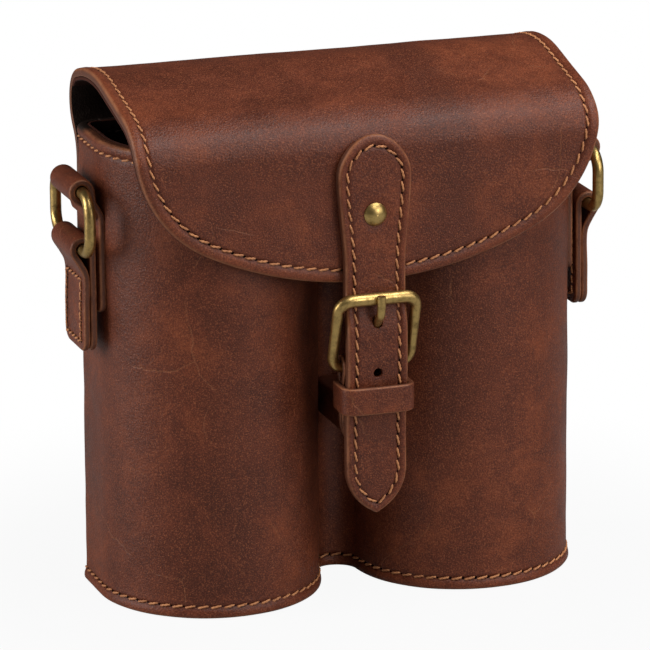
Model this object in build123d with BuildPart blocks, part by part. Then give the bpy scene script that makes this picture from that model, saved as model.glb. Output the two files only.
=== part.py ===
"""Leather case for binoculars: two barrel lobes, hinged lid, closing strap with a buckle.

Millimetres. +X is the case's left-to-right width seen from the front, -Y is the front,
+Z is up. The origin is on the floor, in the middle of the whole case's width and depth.
Sketches use lobe coordinates: their y is counted from the line through both lobe centres.
"""
import os
from math import sqrt

from build123d import *

os.makedirs("parts", exist_ok=True)

# Body
lobe_radius = 36.5
lobe_offset = 43.5  # lobe centre from the middle of the case
valley_floor = 4.0  # hollow between the lobes, behind the line of their centres
back_depth = 25.0  # flat back behind the line of the lobe centres
back_corner = 8.0
body_height = 154.5
wall = 3.0
lining = 1.2
base_thickness = 4.6
pad_thickness = 2.0
rim_facing_height = 12.0
rim_round = 1.2

# Lid
lid_leather = 2.6
lid_lining_thickness = 1.2
lid_gap = 0.5  # lid to the front of the lobes
lid_inset = 1.8  # lid's sides inside the body's sides
lid_bottom = 109.5  # lowest point of the curved front edge
lid_sweep = 125.0  # radius of the long curve of the front edge
lid_corner = 42.0  # radius between the long curve and the straight sides
lid_drop = 3.5  # level of the upper front corner above the body
lid_shoulder = 10.5  # level of the shoulder above the body
lid_crown = 20.8  # level of the crown above the body
crown_setback = 15.0  # crown in front of the flat back
shoulder_step = 9.3  # shoulder behind the lid's front face
roll_reach = 10.0  # rolled hinge behind the flat back
roll_low = 0.0  # levels of the roll's lower and upper ends above the body
roll_high = 14.0
flap_low = 26.0  # lower edge of the hinge flap, below the top of the body
flap_turn = 8.5  # where the flap leaves the back, below the top of the body
hinge_split = 11.5  # end of the flexing leather above the body
seam_gap = 0.3
bend_back = 14.0  # bend radii of the lid's outer face, from the flap to the front
bend_roll = 13.0
bend_roll_top = 11.5
bend_crown = 55.0
bend_shoulder = 26.0
bend_front = 12.0

# Closing strap
strap_thickness = 3.6
strap_width = 20.4
strap_head_width = 24.6
strap_top = 157.2
strap_neck = 114.0  # where the head has narrowed to the strap's width
strap_tip = 33.0
tip_length = 15.0
tip_round = 1.5
hole_diameter = 3.1
hole_pitch = 19.5
strap_bow = 2.2  # strap pushed forward between the buckle's bars
strap_hang = 0.3  # strap in front of the lid's face plane below the keeper
bow_bottom = 62.0
rivet_level = 132.5
rivet_cap_diameter = 7.6
rivet_cap_height = 1.8
rivet_post = 2.6
burr_diameter = 7.0
burr_thickness = 1.0

# Buckle, chape and keeper
buckle_wire = 3.6
buckle_width = 26.4  # between the side bars' centres
buckle_corner = 4.2
buckle_bar_level = 105.4
hinge_bar_level = 81.1
prong_diameter = 2.8
prong_loop = 1.2
prong_loop_width = 4.0
prong_level = 100.0  # where the prong passes the strap's front face
chape_leather = 2.2
chape_width = 20.6
chape_bottom = 53.2
keeper_leather = 1.9
keeper_width = 24.8
keeper_height = 9.0
keeper_level = 67.5
block_width = 11.0
block_bottom = 55.5
block_height = 11.0
chape_rivet_diameter = 3.0
chape_rivet_depth = 8.0
chape_rivet_pitch = 5.0

# Side rings, anchors and tabs
ring_wire = 3.7
ring_width = 40.0  # between the side bars' centres
ring_height = 19.0  # between the upper and lower bars' centres
ring_corner = 6.5
ring_level = 138.6
side_clearance = 0.15  # between the anchor and the tab on it
ring_y = 3.0
side_leather = 2.2
side_strap_width = 23.0
tab_bottom = 85.0
tab_fairing = 9.0
tab_corner = 5.0
anchor_bottom = 98.0
anchor_turn = 9.0  # where the anchor's fold meets its leg, below the ring's upper bar
anchor_rivet_diameter = 6.0
anchor_rivet_height = 0.9
anchor_rivet_post = 2.4
anchor_rivet_level = 104.0
anchor_rivet_pitch = 8.0

# Clearances
eye_clearance = 0.25  # leather eyes round the rings and the buckle's bar
prong_clearance = 0.08
soft_clearance = 0.35
slot_clearance = 0.4
post_clearance = 0.05

# Values that follow
half_width = lobe_offset + lobe_radius
valley_radius = (lobe_offset**2 + valley_floor**2 - lobe_radius**2) / (2 * (lobe_radius + valley_floor))
valley_y = valley_floor - valley_radius
lid_half_width = half_width - lid_inset
lid_crown_y = back_depth - crown_setback
lid_thickness = lid_leather + lid_lining_thickness
lid_face = -(lobe_radius + lid_gap + lid_thickness)
flap_face = back_depth + lid_leather
roll_face = back_depth + roll_reach
wire_radius = buckle_wire / 2
eye_radius = wire_radius + eye_clearance
fold_radius = eye_radius + chape_leather
prong_loop_radius = wire_radius + prong_clearance + prong_loop
strap_bow_face = lid_face - strap_bow  # back of the strap over the hinge bar
strap_low_face = lid_face - strap_hang  # back of the strap below the keeper
strap_front = lid_face - strap_thickness
hinge_bar_y = strap_bow_face + soft_clearance + fold_radius
top_bar_y = strap_front - soft_clearance - wire_radius
prong_tip_y = top_bar_y - wire_radius - prong_clearance - prong_diameter / 2
front_reach = prong_diameter / 2 - prong_tip_y
lobe_y = (front_reach - roll_face) / 2
chape_back = hinge_bar_y + chape_leather
chape_fairing = hinge_bar_level - keeper_level - keeper_height
cap_radius = rivet_cap_diameter / 2
ring_bar = ring_wire / 2
side_eye = ring_bar + eye_clearance
side_fold = side_eye + side_leather
ring_standoff = side_leather + side_clearance + side_fold
tab_lean = side_leather - side_fold


def plan(level):
    """Level plane with its origin on the lobe line."""
    return Plane((0, lobe_y, level))


def section(x=0.0):
    """Plane across the case: its x is the case's Y, its y is the case's Z."""
    return Plane((x, lobe_y, 0), x_dir=(0, 1, 0), z_dir=(1, 0, 0))


def elevation(y=0.0):
    """Plane facing the front: its x is the case's X, its y is the case's Z."""
    return Plane((0, lobe_y + y, 0), x_dir=(1, 0, 0), z_dir=(0, -1, 0))


def body_outline(inset):
    """Plan outline of the body, drawn in by inset."""
    lobe_r = lobe_radius - inset
    valley_r = valley_radius + inset
    reach = lobe_radius + valley_radius
    touch = Vector(lobe_offset / reach, valley_y / reach)
    meet_left = Vector(-lobe_offset, 0) + touch * lobe_r
    meet_right = Vector(-meet_left.X, meet_left.Y)
    side = half_width - inset
    back = back_depth - inset
    corner = max(back_corner - inset, wall / 4)
    with BuildSketch() as outline:
        with BuildLine():
            ThreePointArc((-side, 0), (-lobe_offset, -lobe_r), meet_left)
            ThreePointArc(meet_left, (0, valley_y + valley_r), meet_right)
            ThreePointArc(meet_right, (lobe_offset, -lobe_r), (side, 0))
            FilletPolyline((side, 0), (side, back), (-side, back), (-side, 0), radius=corner)
        make_face()
    return outline.sketch


def body_shell(outer, inner, low, high):
    """Wall between two insets of the body outline, from one level to another."""
    with BuildPart() as shell:
        with BuildSketch(plan(low)):
            add(body_outline(outer))
        extrude(amount=high - low)
        with BuildSketch(plan(low)):
            add(body_outline(inner))
        extrude(amount=high - low, mode=Mode.SUBTRACT)
    return shell.part


def lid_corners(offset):
    """Corner points of the lid's side profile, pushed outwards from its outer face by offset."""
    bare = [
        (flap_face, body_height - flap_low),
        (flap_face, body_height - flap_turn),
        (roll_face, body_height + roll_low),
        (roll_face, body_height + roll_high),
        (lid_crown_y, body_height + lid_crown),
        (lid_face + shoulder_step, body_height + lid_shoulder),
        (lid_face, body_height + lid_drop),
        (lid_face, lid_bottom),
    ]
    corners = []
    for i, (y, z) in enumerate(bare):
        before = bare[max(i - 1, 0)]
        after = bare[min(i + 1, len(bare) - 1)]
        into = Vector(y - before[0], z - before[1])
        out = Vector(after[0] - y, after[1] - z)
        into = into.normalized() if into.length else out.normalized()
        out = out.normalized() if out.length else into
        normal_in = Vector(into.Y, -into.X)
        normal_out = Vector(out.Y, -out.X)
        miter = (normal_in + normal_out) * (offset / (1 + normal_in.dot(normal_out)))
        corners.append(Vector(y, z) + miter)
    return corners


def lid_sheet(outer, inner, half_span):
    """Bent sheet between two offsets of the lid's side profile, over the whole width."""
    bends = [-bend_back, bend_roll, bend_roll_top, bend_crown, bend_shoulder, bend_front]
    with BuildPart() as sheet:
        with BuildSketch(section()):
            with BuildLine():
                over = FilletPolyline(*lid_corners(outer), radius=[abs(b + outer) for b in bends])
                under = FilletPolyline(*lid_corners(inner), radius=[abs(b + inner) for b in bends])
                Line(over @ 0, under @ 0)
                Line(over @ 1, under @ 1)
            make_face()
        extrude(amount=half_span, both=True)
    return sheet.part


def lid_trim():
    """Space that the lid keeps: its curved front outline, and its full width at the back."""
    high = body_height + roll_reach + lid_crown
    sweep_centre = Vector(0, lid_bottom + lid_sweep)
    corner_x = lid_half_width - lid_corner
    corner_drop = sqrt((lid_sweep - lid_corner) ** 2 - corner_x**2)
    corner_centre = sweep_centre + Vector(corner_x, -corner_drop)
    outward = Vector(corner_x, -corner_drop).normalized()
    outward_mid = (outward - Vector(0, 1)).normalized()
    meet = corner_centre + outward * lid_corner
    halfway = corner_centre + (outward + Vector(1, 0)).normalized() * lid_corner
    with BuildPart() as trim:
        with BuildSketch(elevation()) as outline:
            with BuildLine():
                ThreePointArc((0, lid_bottom), sweep_centre + outward_mid * lid_sweep, meet)
                ThreePointArc(meet, halfway, (lid_half_width, corner_centre.Y))
                Line((lid_half_width, corner_centre.Y), (lid_half_width, high))
                Line((lid_half_width, high), (0, high))
                mirror(about=Plane.YZ)
            make_face()
        extrude(amount=2 * lobe_radius)
        with BuildSketch(section()):
            with Locations((0, body_height - flap_low)):
                Rectangle(2 * roll_face, high, align=(Align.MIN, Align.MIN))
        extrude(amount=lid_half_width, both=True)
    return trim.part


def hinge_zone(gap):
    """Space round the leather that flexes, behind the lobe line, up to the split less a gap."""
    with BuildPart() as zone:
        with BuildSketch(plan(body_height + hinge_split - gap)):
            Rectangle(4 * lid_half_width, 2 * roll_face, align=(Align.CENTER, Align.MIN))
        extrude(amount=-2 * flap_low)
    return zone.part


def round_bar(y, z, radius, half_length):
    """Round bar along X at a place in the section plane."""
    with BuildPart() as bar:
        with BuildSketch(section()):
            with Locations((y, z)):
                Circle(radius)
        extrude(amount=half_length, both=True)
    return bar.part


def strap_outline():
    """Outline of the closing strap from the front: round head, parallel run, pointed tip."""
    head = strap_head_width / 2
    half = strap_width / 2
    head_centre = strap_top - head
    shoulder = strap_tip + tip_length
    point = strap_tip + tip_round / 2
    with BuildSketch() as outline:
        with BuildLine():
            ThreePointArc((-head, head_centre), (0, strap_top), (head, head_centre))
            for side in (-1, 1):
                neck = [(side * head, head_centre), (side * half, strap_neck)]
                Spline(*neck, tangents=((0, -1), (0, -1)))
                Line(neck[1], (side * half, shoulder))
                TangentArc((side * half, shoulder), (side * tip_round, point), tangent=(0, -1))
            ThreePointArc((-tip_round, point), (0, strap_tip), (tip_round, point))
        make_face()
    return outline.sketch


def strap_side(thickness):
    """Points down the strap's hanging part, in front of its back face by thickness."""
    return [
        (lid_face - thickness, lid_bottom),
        (lid_face - thickness, buckle_bar_level),
        (strap_bow_face - thickness, (buckle_bar_level + hinge_bar_level) / 2),
        (strap_bow_face - thickness, hinge_bar_level),
        (strap_low_face - thickness, bow_bottom),
        (strap_low_face - thickness, strap_tip),
    ]


def prong_path():
    """Points of the prong from its loop, behind the strap and through its hole, to the top bar."""
    behind = strap_bow_face + soft_clearance + prong_diameter / 2
    run = strap_thickness + 2 * soft_clearance + prong_diameter
    return [
        (behind, hinge_bar_level + wire_radius),
        (behind, prong_level - run),
        (behind - run - prong_diameter / 4, prong_level + soft_clearance),
        (prong_tip_y, buckle_bar_level - wire_radius),
        (prong_tip_y, buckle_bar_level + prong_diameter / 2),
    ]


def prong_rod(room):
    """Round rod along the prong's path, made thicker all round by room."""
    with BuildPart() as rod:
        with BuildLine(section()) as path:
            FilletPolyline(*prong_path(), radius=prong_diameter)
        with BuildSketch(Plane(path.line @ 0, z_dir=path.line % 0)):
            Circle(prong_diameter / 2 + room)
        sweep(path=path.line)
    return rod.part


def wire_ring(plane, width, height, corner, radius):
    """Rectangular ring of round wire; the plane's origin is the middle of its lower bar."""
    half = width / 2
    with BuildPart() as ring:
        with BuildLine(plane) as path:
            FilletPolyline((0, 0), (half, 0), (half, height), (0, height), radius=corner)
        with BuildSketch(Plane(path.line @ 0, z_dir=path.line % 0)):
            Circle(radius)
        sweep(path=path.line)
        mirror(about=Plane(plane.origin, z_dir=plane.x_dir))
    return ring.part


def rivet_pair(x, radius, length):
    """Two round pins, one above the other, from x outwards along X."""
    with BuildPart() as pins:
        with BuildSketch(section(x)):
            with Locations((ring_y, anchor_rivet_level + anchor_rivet_pitch / 2)):
                with GridLocations(0, anchor_rivet_pitch, 1, 2):
                    Circle(radius)
        extrude(amount=length)
    return pins.part


def rivet_posts(side):
    """Posts of one side's anchor rivets, through the anchor, the wall and the lining."""
    inside = half_width - wall - lining
    reach = side_leather + wall + lining
    return rivet_pair(side * inside, anchor_rivet_post / 2, side * reach)


def rivet_disc(side, x):
    """Heads of one side's anchor rivets, on the face at x."""
    return rivet_pair(side * x, anchor_rivet_diameter / 2, side * anchor_rivet_height)


def folded_strap(fold, eye, leather, fairing, length, lean=0):
    """Side view of a strap folded round a bar at the origin and hanging down from it."""
    with BuildSketch() as side_view:
        Circle(fold)
        Polygon(
            (-fold, 0), (fold, 0), (lean + leather, -fairing), (lean - leather, -fairing),
            align=None,
        )
        with Locations((lean, -fairing)):
            Rectangle(2 * leather, length - fairing, align=(Align.CENTER, Align.MAX))
        Circle(eye, mode=Mode.SUBTRACT)
    return side_view.sketch


def finish(part, name):
    """Label a finished piece and write it."""
    part.label = name
    export_step(part, f"parts/{name}.step")


# The wall is one sheet that runs round both lobes and onto the back at each side.
with BuildPart() as front_wall:
    add(body_shell(0, wall, 0, body_height))
    rim_edges = front_wall.faces().sort_by(Axis.Z)[-1].outer_wire().edges()
    fillet(rim_edges, radius=rim_round)
    with BuildSketch(elevation(back_depth - wall)):
        Rectangle(2 * (half_width - back_corner), 2 * body_height)
    extrude(amount=-2 * wall, mode=Mode.SUBTRACT)
    add(rivet_posts(-1), mode=Mode.SUBTRACT)
    add(rivet_posts(1), mode=Mode.SUBTRACT)
finish(front_wall.part, "front_wall")

# The flat back fills the wall's opening, edge to edge.
with BuildPart() as back_panel:
    with BuildSketch(elevation(back_depth - wall)):
        Rectangle(2 * (half_width - back_corner), body_height, align=(Align.CENTER, Align.MIN))
    extrude(amount=-wall)
    fillet(
        back_panel.edges().filter_by(Axis.X).group_by(Axis.Z)[-1].sort_by(Axis.Y)[-1],
        radius=rim_round,
    )
finish(back_panel.part, "back_panel")

with BuildPart() as base_plate:
    with BuildSketch(plan(0)):
        add(body_outline(wall))
    extrude(amount=base_thickness)
finish(base_plate.part, "base_plate")

with BuildPart() as body_lining:
    add(body_shell(wall, wall + lining, base_thickness, body_height - rim_facing_height))
    add(rivet_posts(-1), mode=Mode.SUBTRACT)
    add(rivet_posts(1), mode=Mode.SUBTRACT)
finish(body_lining.part, "body_lining")

with BuildPart() as rim_facing:
    add(body_shell(wall, wall + lining, body_height - rim_facing_height, body_height))
finish(rim_facing.part, "rim_facing")

with BuildPart() as base_pad:
    with BuildSketch(plan(base_thickness)):
        add(body_outline(wall + lining))
    extrude(amount=pad_thickness)
finish(base_pad.part, "base_pad")

# Rivet through the closing strap and the lid.
with BuildPart() as rivet_hole:
    with BuildSketch(elevation(lid_face + 2 * lid_thickness)):
        with Locations((0, rivet_level)):
            Circle(rivet_post / 2 + post_clearance)
    extrude(amount=2 * lid_thickness + 2 * strap_thickness)

# Lid leather and its lining end at the split, above the leather that flexes.
with BuildPart() as lid_shell:
    add(lid_sheet(0, -lid_leather, lid_half_width))
    add(lid_trim(), mode=Mode.INTERSECT)
    add(hinge_zone(0), mode=Mode.SUBTRACT)
    add(rivet_hole.part, mode=Mode.SUBTRACT)
finish(lid_shell.part, "lid_shell")

with BuildPart() as lid_lining:
    add(lid_sheet(-lid_leather, -lid_thickness, lid_half_width))
    add(lid_trim(), mode=Mode.INTERSECT)
    add(hinge_zone(0), mode=Mode.SUBTRACT)
    add(rivet_hole.part, mode=Mode.SUBTRACT)
finish(lid_lining.part, "lid_lining")

# The same leather goes on down the back as the hinge flap, sewn to the back panel.
with BuildPart() as hinge_flap:
    add(lid_sheet(0, -lid_leather, lid_half_width))
    add(hinge_zone(seam_gap), mode=Mode.INTERSECT)
finish(hinge_flap.part, "hinge_flap")

# Closing strap: bedded on the lid's outer face, then hanging through buckle and keeper.
with BuildPart() as closing_strap:
    add(lid_sheet(strap_thickness, 0, strap_head_width))
    with BuildSketch(section()):
        with BuildLine():
            front = Spline(*strap_side(strap_thickness), tangents=((0, -1), (0, -1)))
            back = Spline(*strap_side(0), tangents=((0, -1), (0, -1)))
            Line(front @ 0, back @ 0)
            Line(front @ 1, back @ 1)
        make_face()
    extrude(amount=strap_head_width, both=True)
    with BuildSketch(elevation()):
        add(strap_outline())
    extrude(amount=-2 * lid_face, mode=Mode.INTERSECT)
    with BuildSketch(elevation()):
        with Locations((0, prong_level - hole_pitch)):
            Circle(hole_diameter / 2)
    extrude(amount=-2 * lid_face, mode=Mode.SUBTRACT)
    add(prong_rod(slot_clearance), mode=Mode.SUBTRACT)
    add(rivet_hole.part, mode=Mode.SUBTRACT)
finish(closing_strap.part, "closing_strap")

with BuildPart() as strap_rivet_cap:
    with BuildSketch(section()):
        dome_radius = (cap_radius**2 + rivet_cap_height**2) / (2 * rivet_cap_height)
        with Locations((strap_front - rivet_cap_height + dome_radius, rivet_level)):
            Circle(dome_radius)
        with Locations((strap_front, rivet_level)):
            Rectangle(
                4 * dome_radius, 4 * dome_radius, align=(Align.MIN, Align.CENTER), mode=Mode.SUBTRACT
            )
            Rectangle(
                lid_thickness + strap_thickness, rivet_post, align=(Align.MIN, Align.CENTER)
            )
        with Locations((0, rivet_level)):
            Rectangle(
                4 * lobe_radius, 4 * dome_radius, align=(Align.CENTER, Align.MAX), mode=Mode.SUBTRACT
            )
    revolve(axis=Axis((0, lobe_y, rivet_level), (0, 1, 0)))
finish(strap_rivet_cap.part, "strap_rivet_cap")

with BuildPart() as strap_rivet_burr:
    with BuildSketch(elevation(lid_face + lid_thickness)):
        with Locations((0, rivet_level)):
            Circle(burr_diameter / 2)
    extrude(amount=-burr_thickness)
    chamfer(strap_rivet_burr.edges().sort_by(Axis.Y)[-1], length=burr_thickness / 3)
finish(strap_rivet_burr.part, "strap_rivet_burr")

# Buckle: one ring of wire, leaning forward from its hinge bar over the strap.
lean = Vector(0, top_bar_y - hinge_bar_y, buckle_bar_level - hinge_bar_level)
buckle_plane = Plane(
    (0, lobe_y + hinge_bar_y, hinge_bar_level), x_dir=(1, 0, 0), z_dir=Vector(1, 0, 0).cross(lean)
)
with BuildPart() as buckle_frame:
    add(wire_ring(buckle_plane, buckle_width, lean.length, buckle_corner, wire_radius))
finish(buckle_frame.part, "buckle_frame")

with BuildPart() as buckle_prong:
    add(prong_rod(0))
    add(round_bar(hinge_bar_y, hinge_bar_level, prong_loop_radius, prong_loop_width / 2))
    add(
        round_bar(hinge_bar_y, hinge_bar_level, wire_radius + prong_clearance, prong_loop_width),
        mode=Mode.SUBTRACT,
    )
finish(buckle_prong.part, "buckle_prong")

# Chape: a strap folded round the buckle's hinge bar, slotted for the prong's loop.
with BuildPart() as chape_screw_space:
    with BuildSketch(elevation(chape_back - 2 * chape_leather)):
        with Locations((0, block_bottom + block_height / 2)):
            with GridLocations(0, chape_rivet_pitch, 1, 2):
                Circle(chape_rivet_diameter / 2)
    extrude(amount=-(2 * chape_leather + chape_rivet_depth))

with BuildPart() as chape:
    with BuildSketch(section()) as chape_side:
        with Locations((hinge_bar_y, hinge_bar_level)):
            drop = hinge_bar_level - chape_bottom
            add(folded_strap(fold_radius, eye_radius, chape_leather, chape_fairing, drop))
    extrude(amount=chape_width / 2, both=True)
    with BuildSketch(elevation()):
        with Locations((0, chape_bottom)):
            SlotOverall(4 * chape_width, chape_width, rotation=90, align=(Align.MIN, Align.CENTER))
    extrude(amount=-2 * lid_face, mode=Mode.INTERSECT)
    prong_room = fold_radius + slot_clearance
    prong_slot = prong_loop_width / 2 + slot_clearance
    add(round_bar(hinge_bar_y, hinge_bar_level, prong_room, prong_slot), mode=Mode.SUBTRACT)
    add(chape_screw_space.part, mode=Mode.SUBTRACT)
finish(chape.part, "chape")

# Block in the hollow between the lobes: it carries the chape.
with BuildPart() as chape_block:
    with BuildSketch(elevation(chape_back)):
        with Locations((0, block_bottom)):
            Rectangle(block_width, block_height, align=(Align.CENTER, Align.MIN))
    extrude(amount=chape_back - valley_floor)
    with BuildSketch(plan(block_bottom)):
        add(body_outline(0))
    extrude(amount=block_height, mode=Mode.SUBTRACT)
    add(chape_screw_space.part, mode=Mode.SUBTRACT)
finish(chape_block.part, "chape_block")

with BuildPart() as chape_rivets:
    add(chape_screw_space.part)
finish(chape_rivets.part, "chape_rivets")

# Keeper loop: sewn behind the chape, round the chape and the closing strap.
with BuildPart() as keeper_loop:
    keeper_front = strap_bow_face - strap_thickness - soft_clearance
    keeper_room = chape_back - keeper_front
    with BuildSketch(plan(keeper_level)):
        with Locations((0, (chape_back + keeper_front) / 2)):
            RectangleRounded(keeper_width, keeper_room + 2 * keeper_leather, 2 * keeper_leather)
            inner_width = keeper_width - 2 * keeper_leather
            Rectangle(inner_width, keeper_room, mode=Mode.SUBTRACT)
    extrude(amount=keeper_height)
finish(keeper_loop.part, "keeper_loop")

# Ring, anchor strap and hanging tab, the same on both sides.
for side, hand in ((-1, "left"), (1, "right")):
    ring_x = side * (half_width + ring_standoff)
    across = Plane((side * half_width, lobe_y + ring_y, 0), x_dir=(side, 0, 0), z_dir=(0, -side, 0))
    sunk_face = half_width + side_leather - anchor_rivet_height  # the tab lies over these heads

    with BuildPart() as ring:
        low_bar = (ring_x, lobe_y + ring_y, ring_level - ring_height)
        hang = Plane(low_bar, x_dir=(0, 1, 0), z_dir=(1, 0, 0))
        add(wire_ring(hang, ring_width, ring_height, ring_corner, ring_bar))
    finish(ring.part, f"{hand}_ring")

    with BuildPart() as anchor:
        with BuildSketch(across):
            turn = ring_level - anchor_turn
            Polygon(
                (-side_leather, anchor_bottom), (side_leather, anchor_bottom),
                (side_leather, turn), (ring_standoff, ring_level - side_fold),
                (ring_standoff, ring_level - side_eye),
                (ring_standoff - side_fold, ring_level), (0, turn + side_leather),
                (-side_leather, turn),
                align=None,
            )
            with Locations((ring_standoff, ring_level)):
                Circle(side_fold)
                Circle(side_eye, mode=Mode.SUBTRACT)
        extrude(amount=side_strap_width / 2, both=True)
        with BuildSketch(plan(anchor_bottom)):
            add(body_outline(0))
        extrude(amount=2 * body_height, mode=Mode.SUBTRACT)
        add(rivet_posts(side), mode=Mode.SUBTRACT)
        add(rivet_disc(side, sunk_face), mode=Mode.SUBTRACT)
    finish(anchor.part, f"{hand}_anchor_strap")

    with BuildPart() as anchor_rivets:
        add(rivet_posts(side))
        add(rivet_disc(side, sunk_face))
        add(rivet_disc(side, half_width - wall - lining - anchor_rivet_height))
    finish(anchor_rivets.part, f"{hand}_anchor_rivets")

    with BuildPart() as tab:
        with BuildSketch(across):
            with Locations((ring_standoff, ring_level - ring_height)):
                drop = ring_level - ring_height - tab_bottom
                add(folded_strap(side_fold, side_eye, side_leather, tab_fairing, drop, tab_lean))
        extrude(amount=side_strap_width / 2, both=True)
        fillet(
            tab.edges().filter_by(Axis.X).group_by(Axis.Z)[0], radius=tab_corner
        )
    finish(tab.part, f"{hand}_strap_tab")
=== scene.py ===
"""Dresses the packed binocular case in leather, thread and brass.

The file is laid out as a Blender add-on and builds the whole scene when it is run as a
script. Lengths are in metres. Side profiles and plans are worked out from the line that
joins the centres of the two lobes: x across the width, y to the back, z up.
"""

from math import atan2, cos, hypot, pi, radians, sin, sqrt, tan

import bmesh
import bpy
import numpy as np
from bpy.props import FloatProperty, FloatVectorProperty, PointerProperty
from mathutils import Matrix, Vector, noise


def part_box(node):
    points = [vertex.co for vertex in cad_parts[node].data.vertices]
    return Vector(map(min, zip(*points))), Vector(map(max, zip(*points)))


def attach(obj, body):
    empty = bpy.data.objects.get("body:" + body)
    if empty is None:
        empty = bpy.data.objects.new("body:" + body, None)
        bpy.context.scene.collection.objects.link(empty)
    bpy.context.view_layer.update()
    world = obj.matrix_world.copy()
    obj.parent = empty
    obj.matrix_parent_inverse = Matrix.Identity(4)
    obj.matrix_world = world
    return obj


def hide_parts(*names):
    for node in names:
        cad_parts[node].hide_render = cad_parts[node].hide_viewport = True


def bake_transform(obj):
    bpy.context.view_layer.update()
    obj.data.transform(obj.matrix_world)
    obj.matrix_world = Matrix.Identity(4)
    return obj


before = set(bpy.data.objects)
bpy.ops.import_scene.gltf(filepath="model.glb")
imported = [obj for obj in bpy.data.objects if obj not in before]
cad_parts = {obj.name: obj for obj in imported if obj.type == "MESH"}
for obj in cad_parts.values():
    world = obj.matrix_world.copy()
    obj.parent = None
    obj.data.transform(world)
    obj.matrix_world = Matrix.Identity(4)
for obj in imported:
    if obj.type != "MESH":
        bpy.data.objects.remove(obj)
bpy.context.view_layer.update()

bl_info = {
    "name": "Binocular case",
    "version": (1, 0, 0),
    "blender": (4, 5, 0),
    "location": "3D View > Sidebar > Case",
    "description": "Builds a stitched leather binocular case around its frame",
    "category": "Add Mesh",
}


def length(name, description, default):
    """Length property in metres."""
    return FloatProperty(name=name, description=description, default=default, unit="LENGTH")


def colour(name, description, default):
    """Colour property, linear."""
    return FloatVectorProperty(
        name=name, description=description, default=default, subtype="COLOR", size=3, min=0, max=1
    )


class BodySizes(bpy.types.PropertyGroup):
    """Sizes of the case's body."""

    lobe_radius: length("Lobe radius", "Outer radius of each barrel lobe", 0.0365)
    lobe_offset: length("Lobe offset", "Lobe centre from the middle", 0.0435)
    valley_floor: length("Valley floor", "Depth of the hollow behind the lobe centres", 0.004)
    back_depth: length("Back depth", "Flat back behind the lobe centres", 0.025)
    back_corner: length("Back corner", "Radius of the upright corners at the back", 0.008)
    height: length("Height", "Height of the body", 0.1545)
    wall: length("Wall", "Thickness of the wall leather", 0.003)
    lining: length("Lining", "Thickness of the lining", 0.0012)
    rim_round: length("Rim rounding", "Rounding of the upper edge", 0.0012)
    flare: length("Flare", "How far the foot of the wall spreads", 0.0006)


class LidSizes(bpy.types.PropertyGroup):
    """Sizes of the lid."""

    leather: length("Leather", "Thickness of the lid's leather", 0.0026)
    lining: length("Lining", "Thickness of the lid's lining", 0.0012)
    inset: length("Inset", "Lid's sides inside the body's sides", 0.0018)
    gap: length("Gap", "Lid to the front of the lobes", 0.0005)
    bottom: length("Bottom", "Lowest point of the curved front edge", 0.1095)
    sweep: length("Sweep", "Radius of the long curve of the front edge", 0.125)
    corner: length("Corner", "Radius between the long curve and the sides", 0.042)
    seam_inset: length("Seam inset", "Stitches inside the lid's edge", 0.0042)


class StrapSizes(bpy.types.PropertyGroup):
    """Sizes of the closing strap, its keeper and its chape."""

    thickness: length("Thickness", "Thickness of the closing strap", 0.0036)
    width: length("Width", "Width of the closing strap", 0.0204)
    head_width: length("Head width", "Width of the strap's round head", 0.0246)
    top: length("Top", "Level of the top of the strap's head", 0.1572)
    neck: length("Neck", "Level where the head has narrowed", 0.114)
    tip: length("Tip", "Level of the strap's point", 0.033)
    seam_inset: length("Seam inset", "Stitches inside the strap's edge", 0.0030)
    bow: length("Bow", "Strap pushed forward between the buckle's bars", 0.0022)
    keeper_level: length("Keeper level", "Lower edge of the keeper loop", 0.0675)
    keeper_height: length("Keeper height", "Height of the keeper loop", 0.009)
    chape_bottom: length("Chape bottom", "Lower end of the chape", 0.0532)


class HardwareSizes(bpy.types.PropertyGroup):
    """Sizes of the brass fittings and of the straps that carry them."""

    buckle_wire: length("Buckle wire", "Wire of the buckle's side and lower bars", 0.0035)
    buckle_front_wire: length("Front bar", "Thickness of the bar that the prong rests on", 0.0041)
    ring_standoff: length("Ring standoff", "Ring's middle from the body's side", 0.00665)
    ring_level: length("Ring level", "Level of the rings' upper bars", 0.1386)
    ring_height: length("Ring height", "Between the rings' upper and lower bars", 0.019)
    side_leather: length("Side leather", "Thickness of the side straps' leather", 0.0022)
    side_width: length("Side width", "Width of the side straps", 0.023)
    tab_bottom: length("Tab bottom", "Lower end of the hanging tabs", 0.085)
    anchor_bottom: length("Anchor bottom", "Lower end of the anchor straps", 0.098)


class SeamSizes(bpy.types.PropertyGroup):
    """Sizes of the stitching."""

    pitch: length("Pitch", "Length of one stitch", 0.0042)
    thread: length("Thread", "Radius of the thread", 0.00042)
    groove: length("Groove", "Depth of the stitching groove", 0.00042)
    body_inset: length("Body inset", "Stitches from the body's rim and base", 0.0040)


class Finishes(bpy.types.PropertyGroup):
    """Colours of the case."""

    leather: colour("Leather", "Main tone of the leather", (0.134, 0.0295, 0.0120))
    glow: colour("Glow", "Redder tone where the wax has moved", (0.205, 0.047, 0.0165))
    shade: colour("Shade", "Darker tone of the leather", (0.076, 0.0170, 0.0080))
    cut_edge: colour("Cut edge", "Burnished cut edges", (0.118, 0.047, 0.026))
    # pale tone of scratches and thread, also the painted highlight where a face rounds into its
    # edge
    bevel: colour("Bevel", "Rubbed line where a face turns into its edge", (0.34, 0.125, 0.052))
    speck: colour("Speck", "Pale specks of the grain", (0.32, 0.105, 0.042))
    lining: colour("Lining", "Lining leather", (0.020, 0.011, 0.008))
    thread: colour("Thread", "Waxed linen thread", (0.60, 0.255, 0.105))
    brass: colour("Brass", "Antiqued brass", (0.56, 0.38, 0.135))
    tarnish: colour("Tarnish", "Dark tarnish on the brass", (0.15, 0.092, 0.034))


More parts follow.
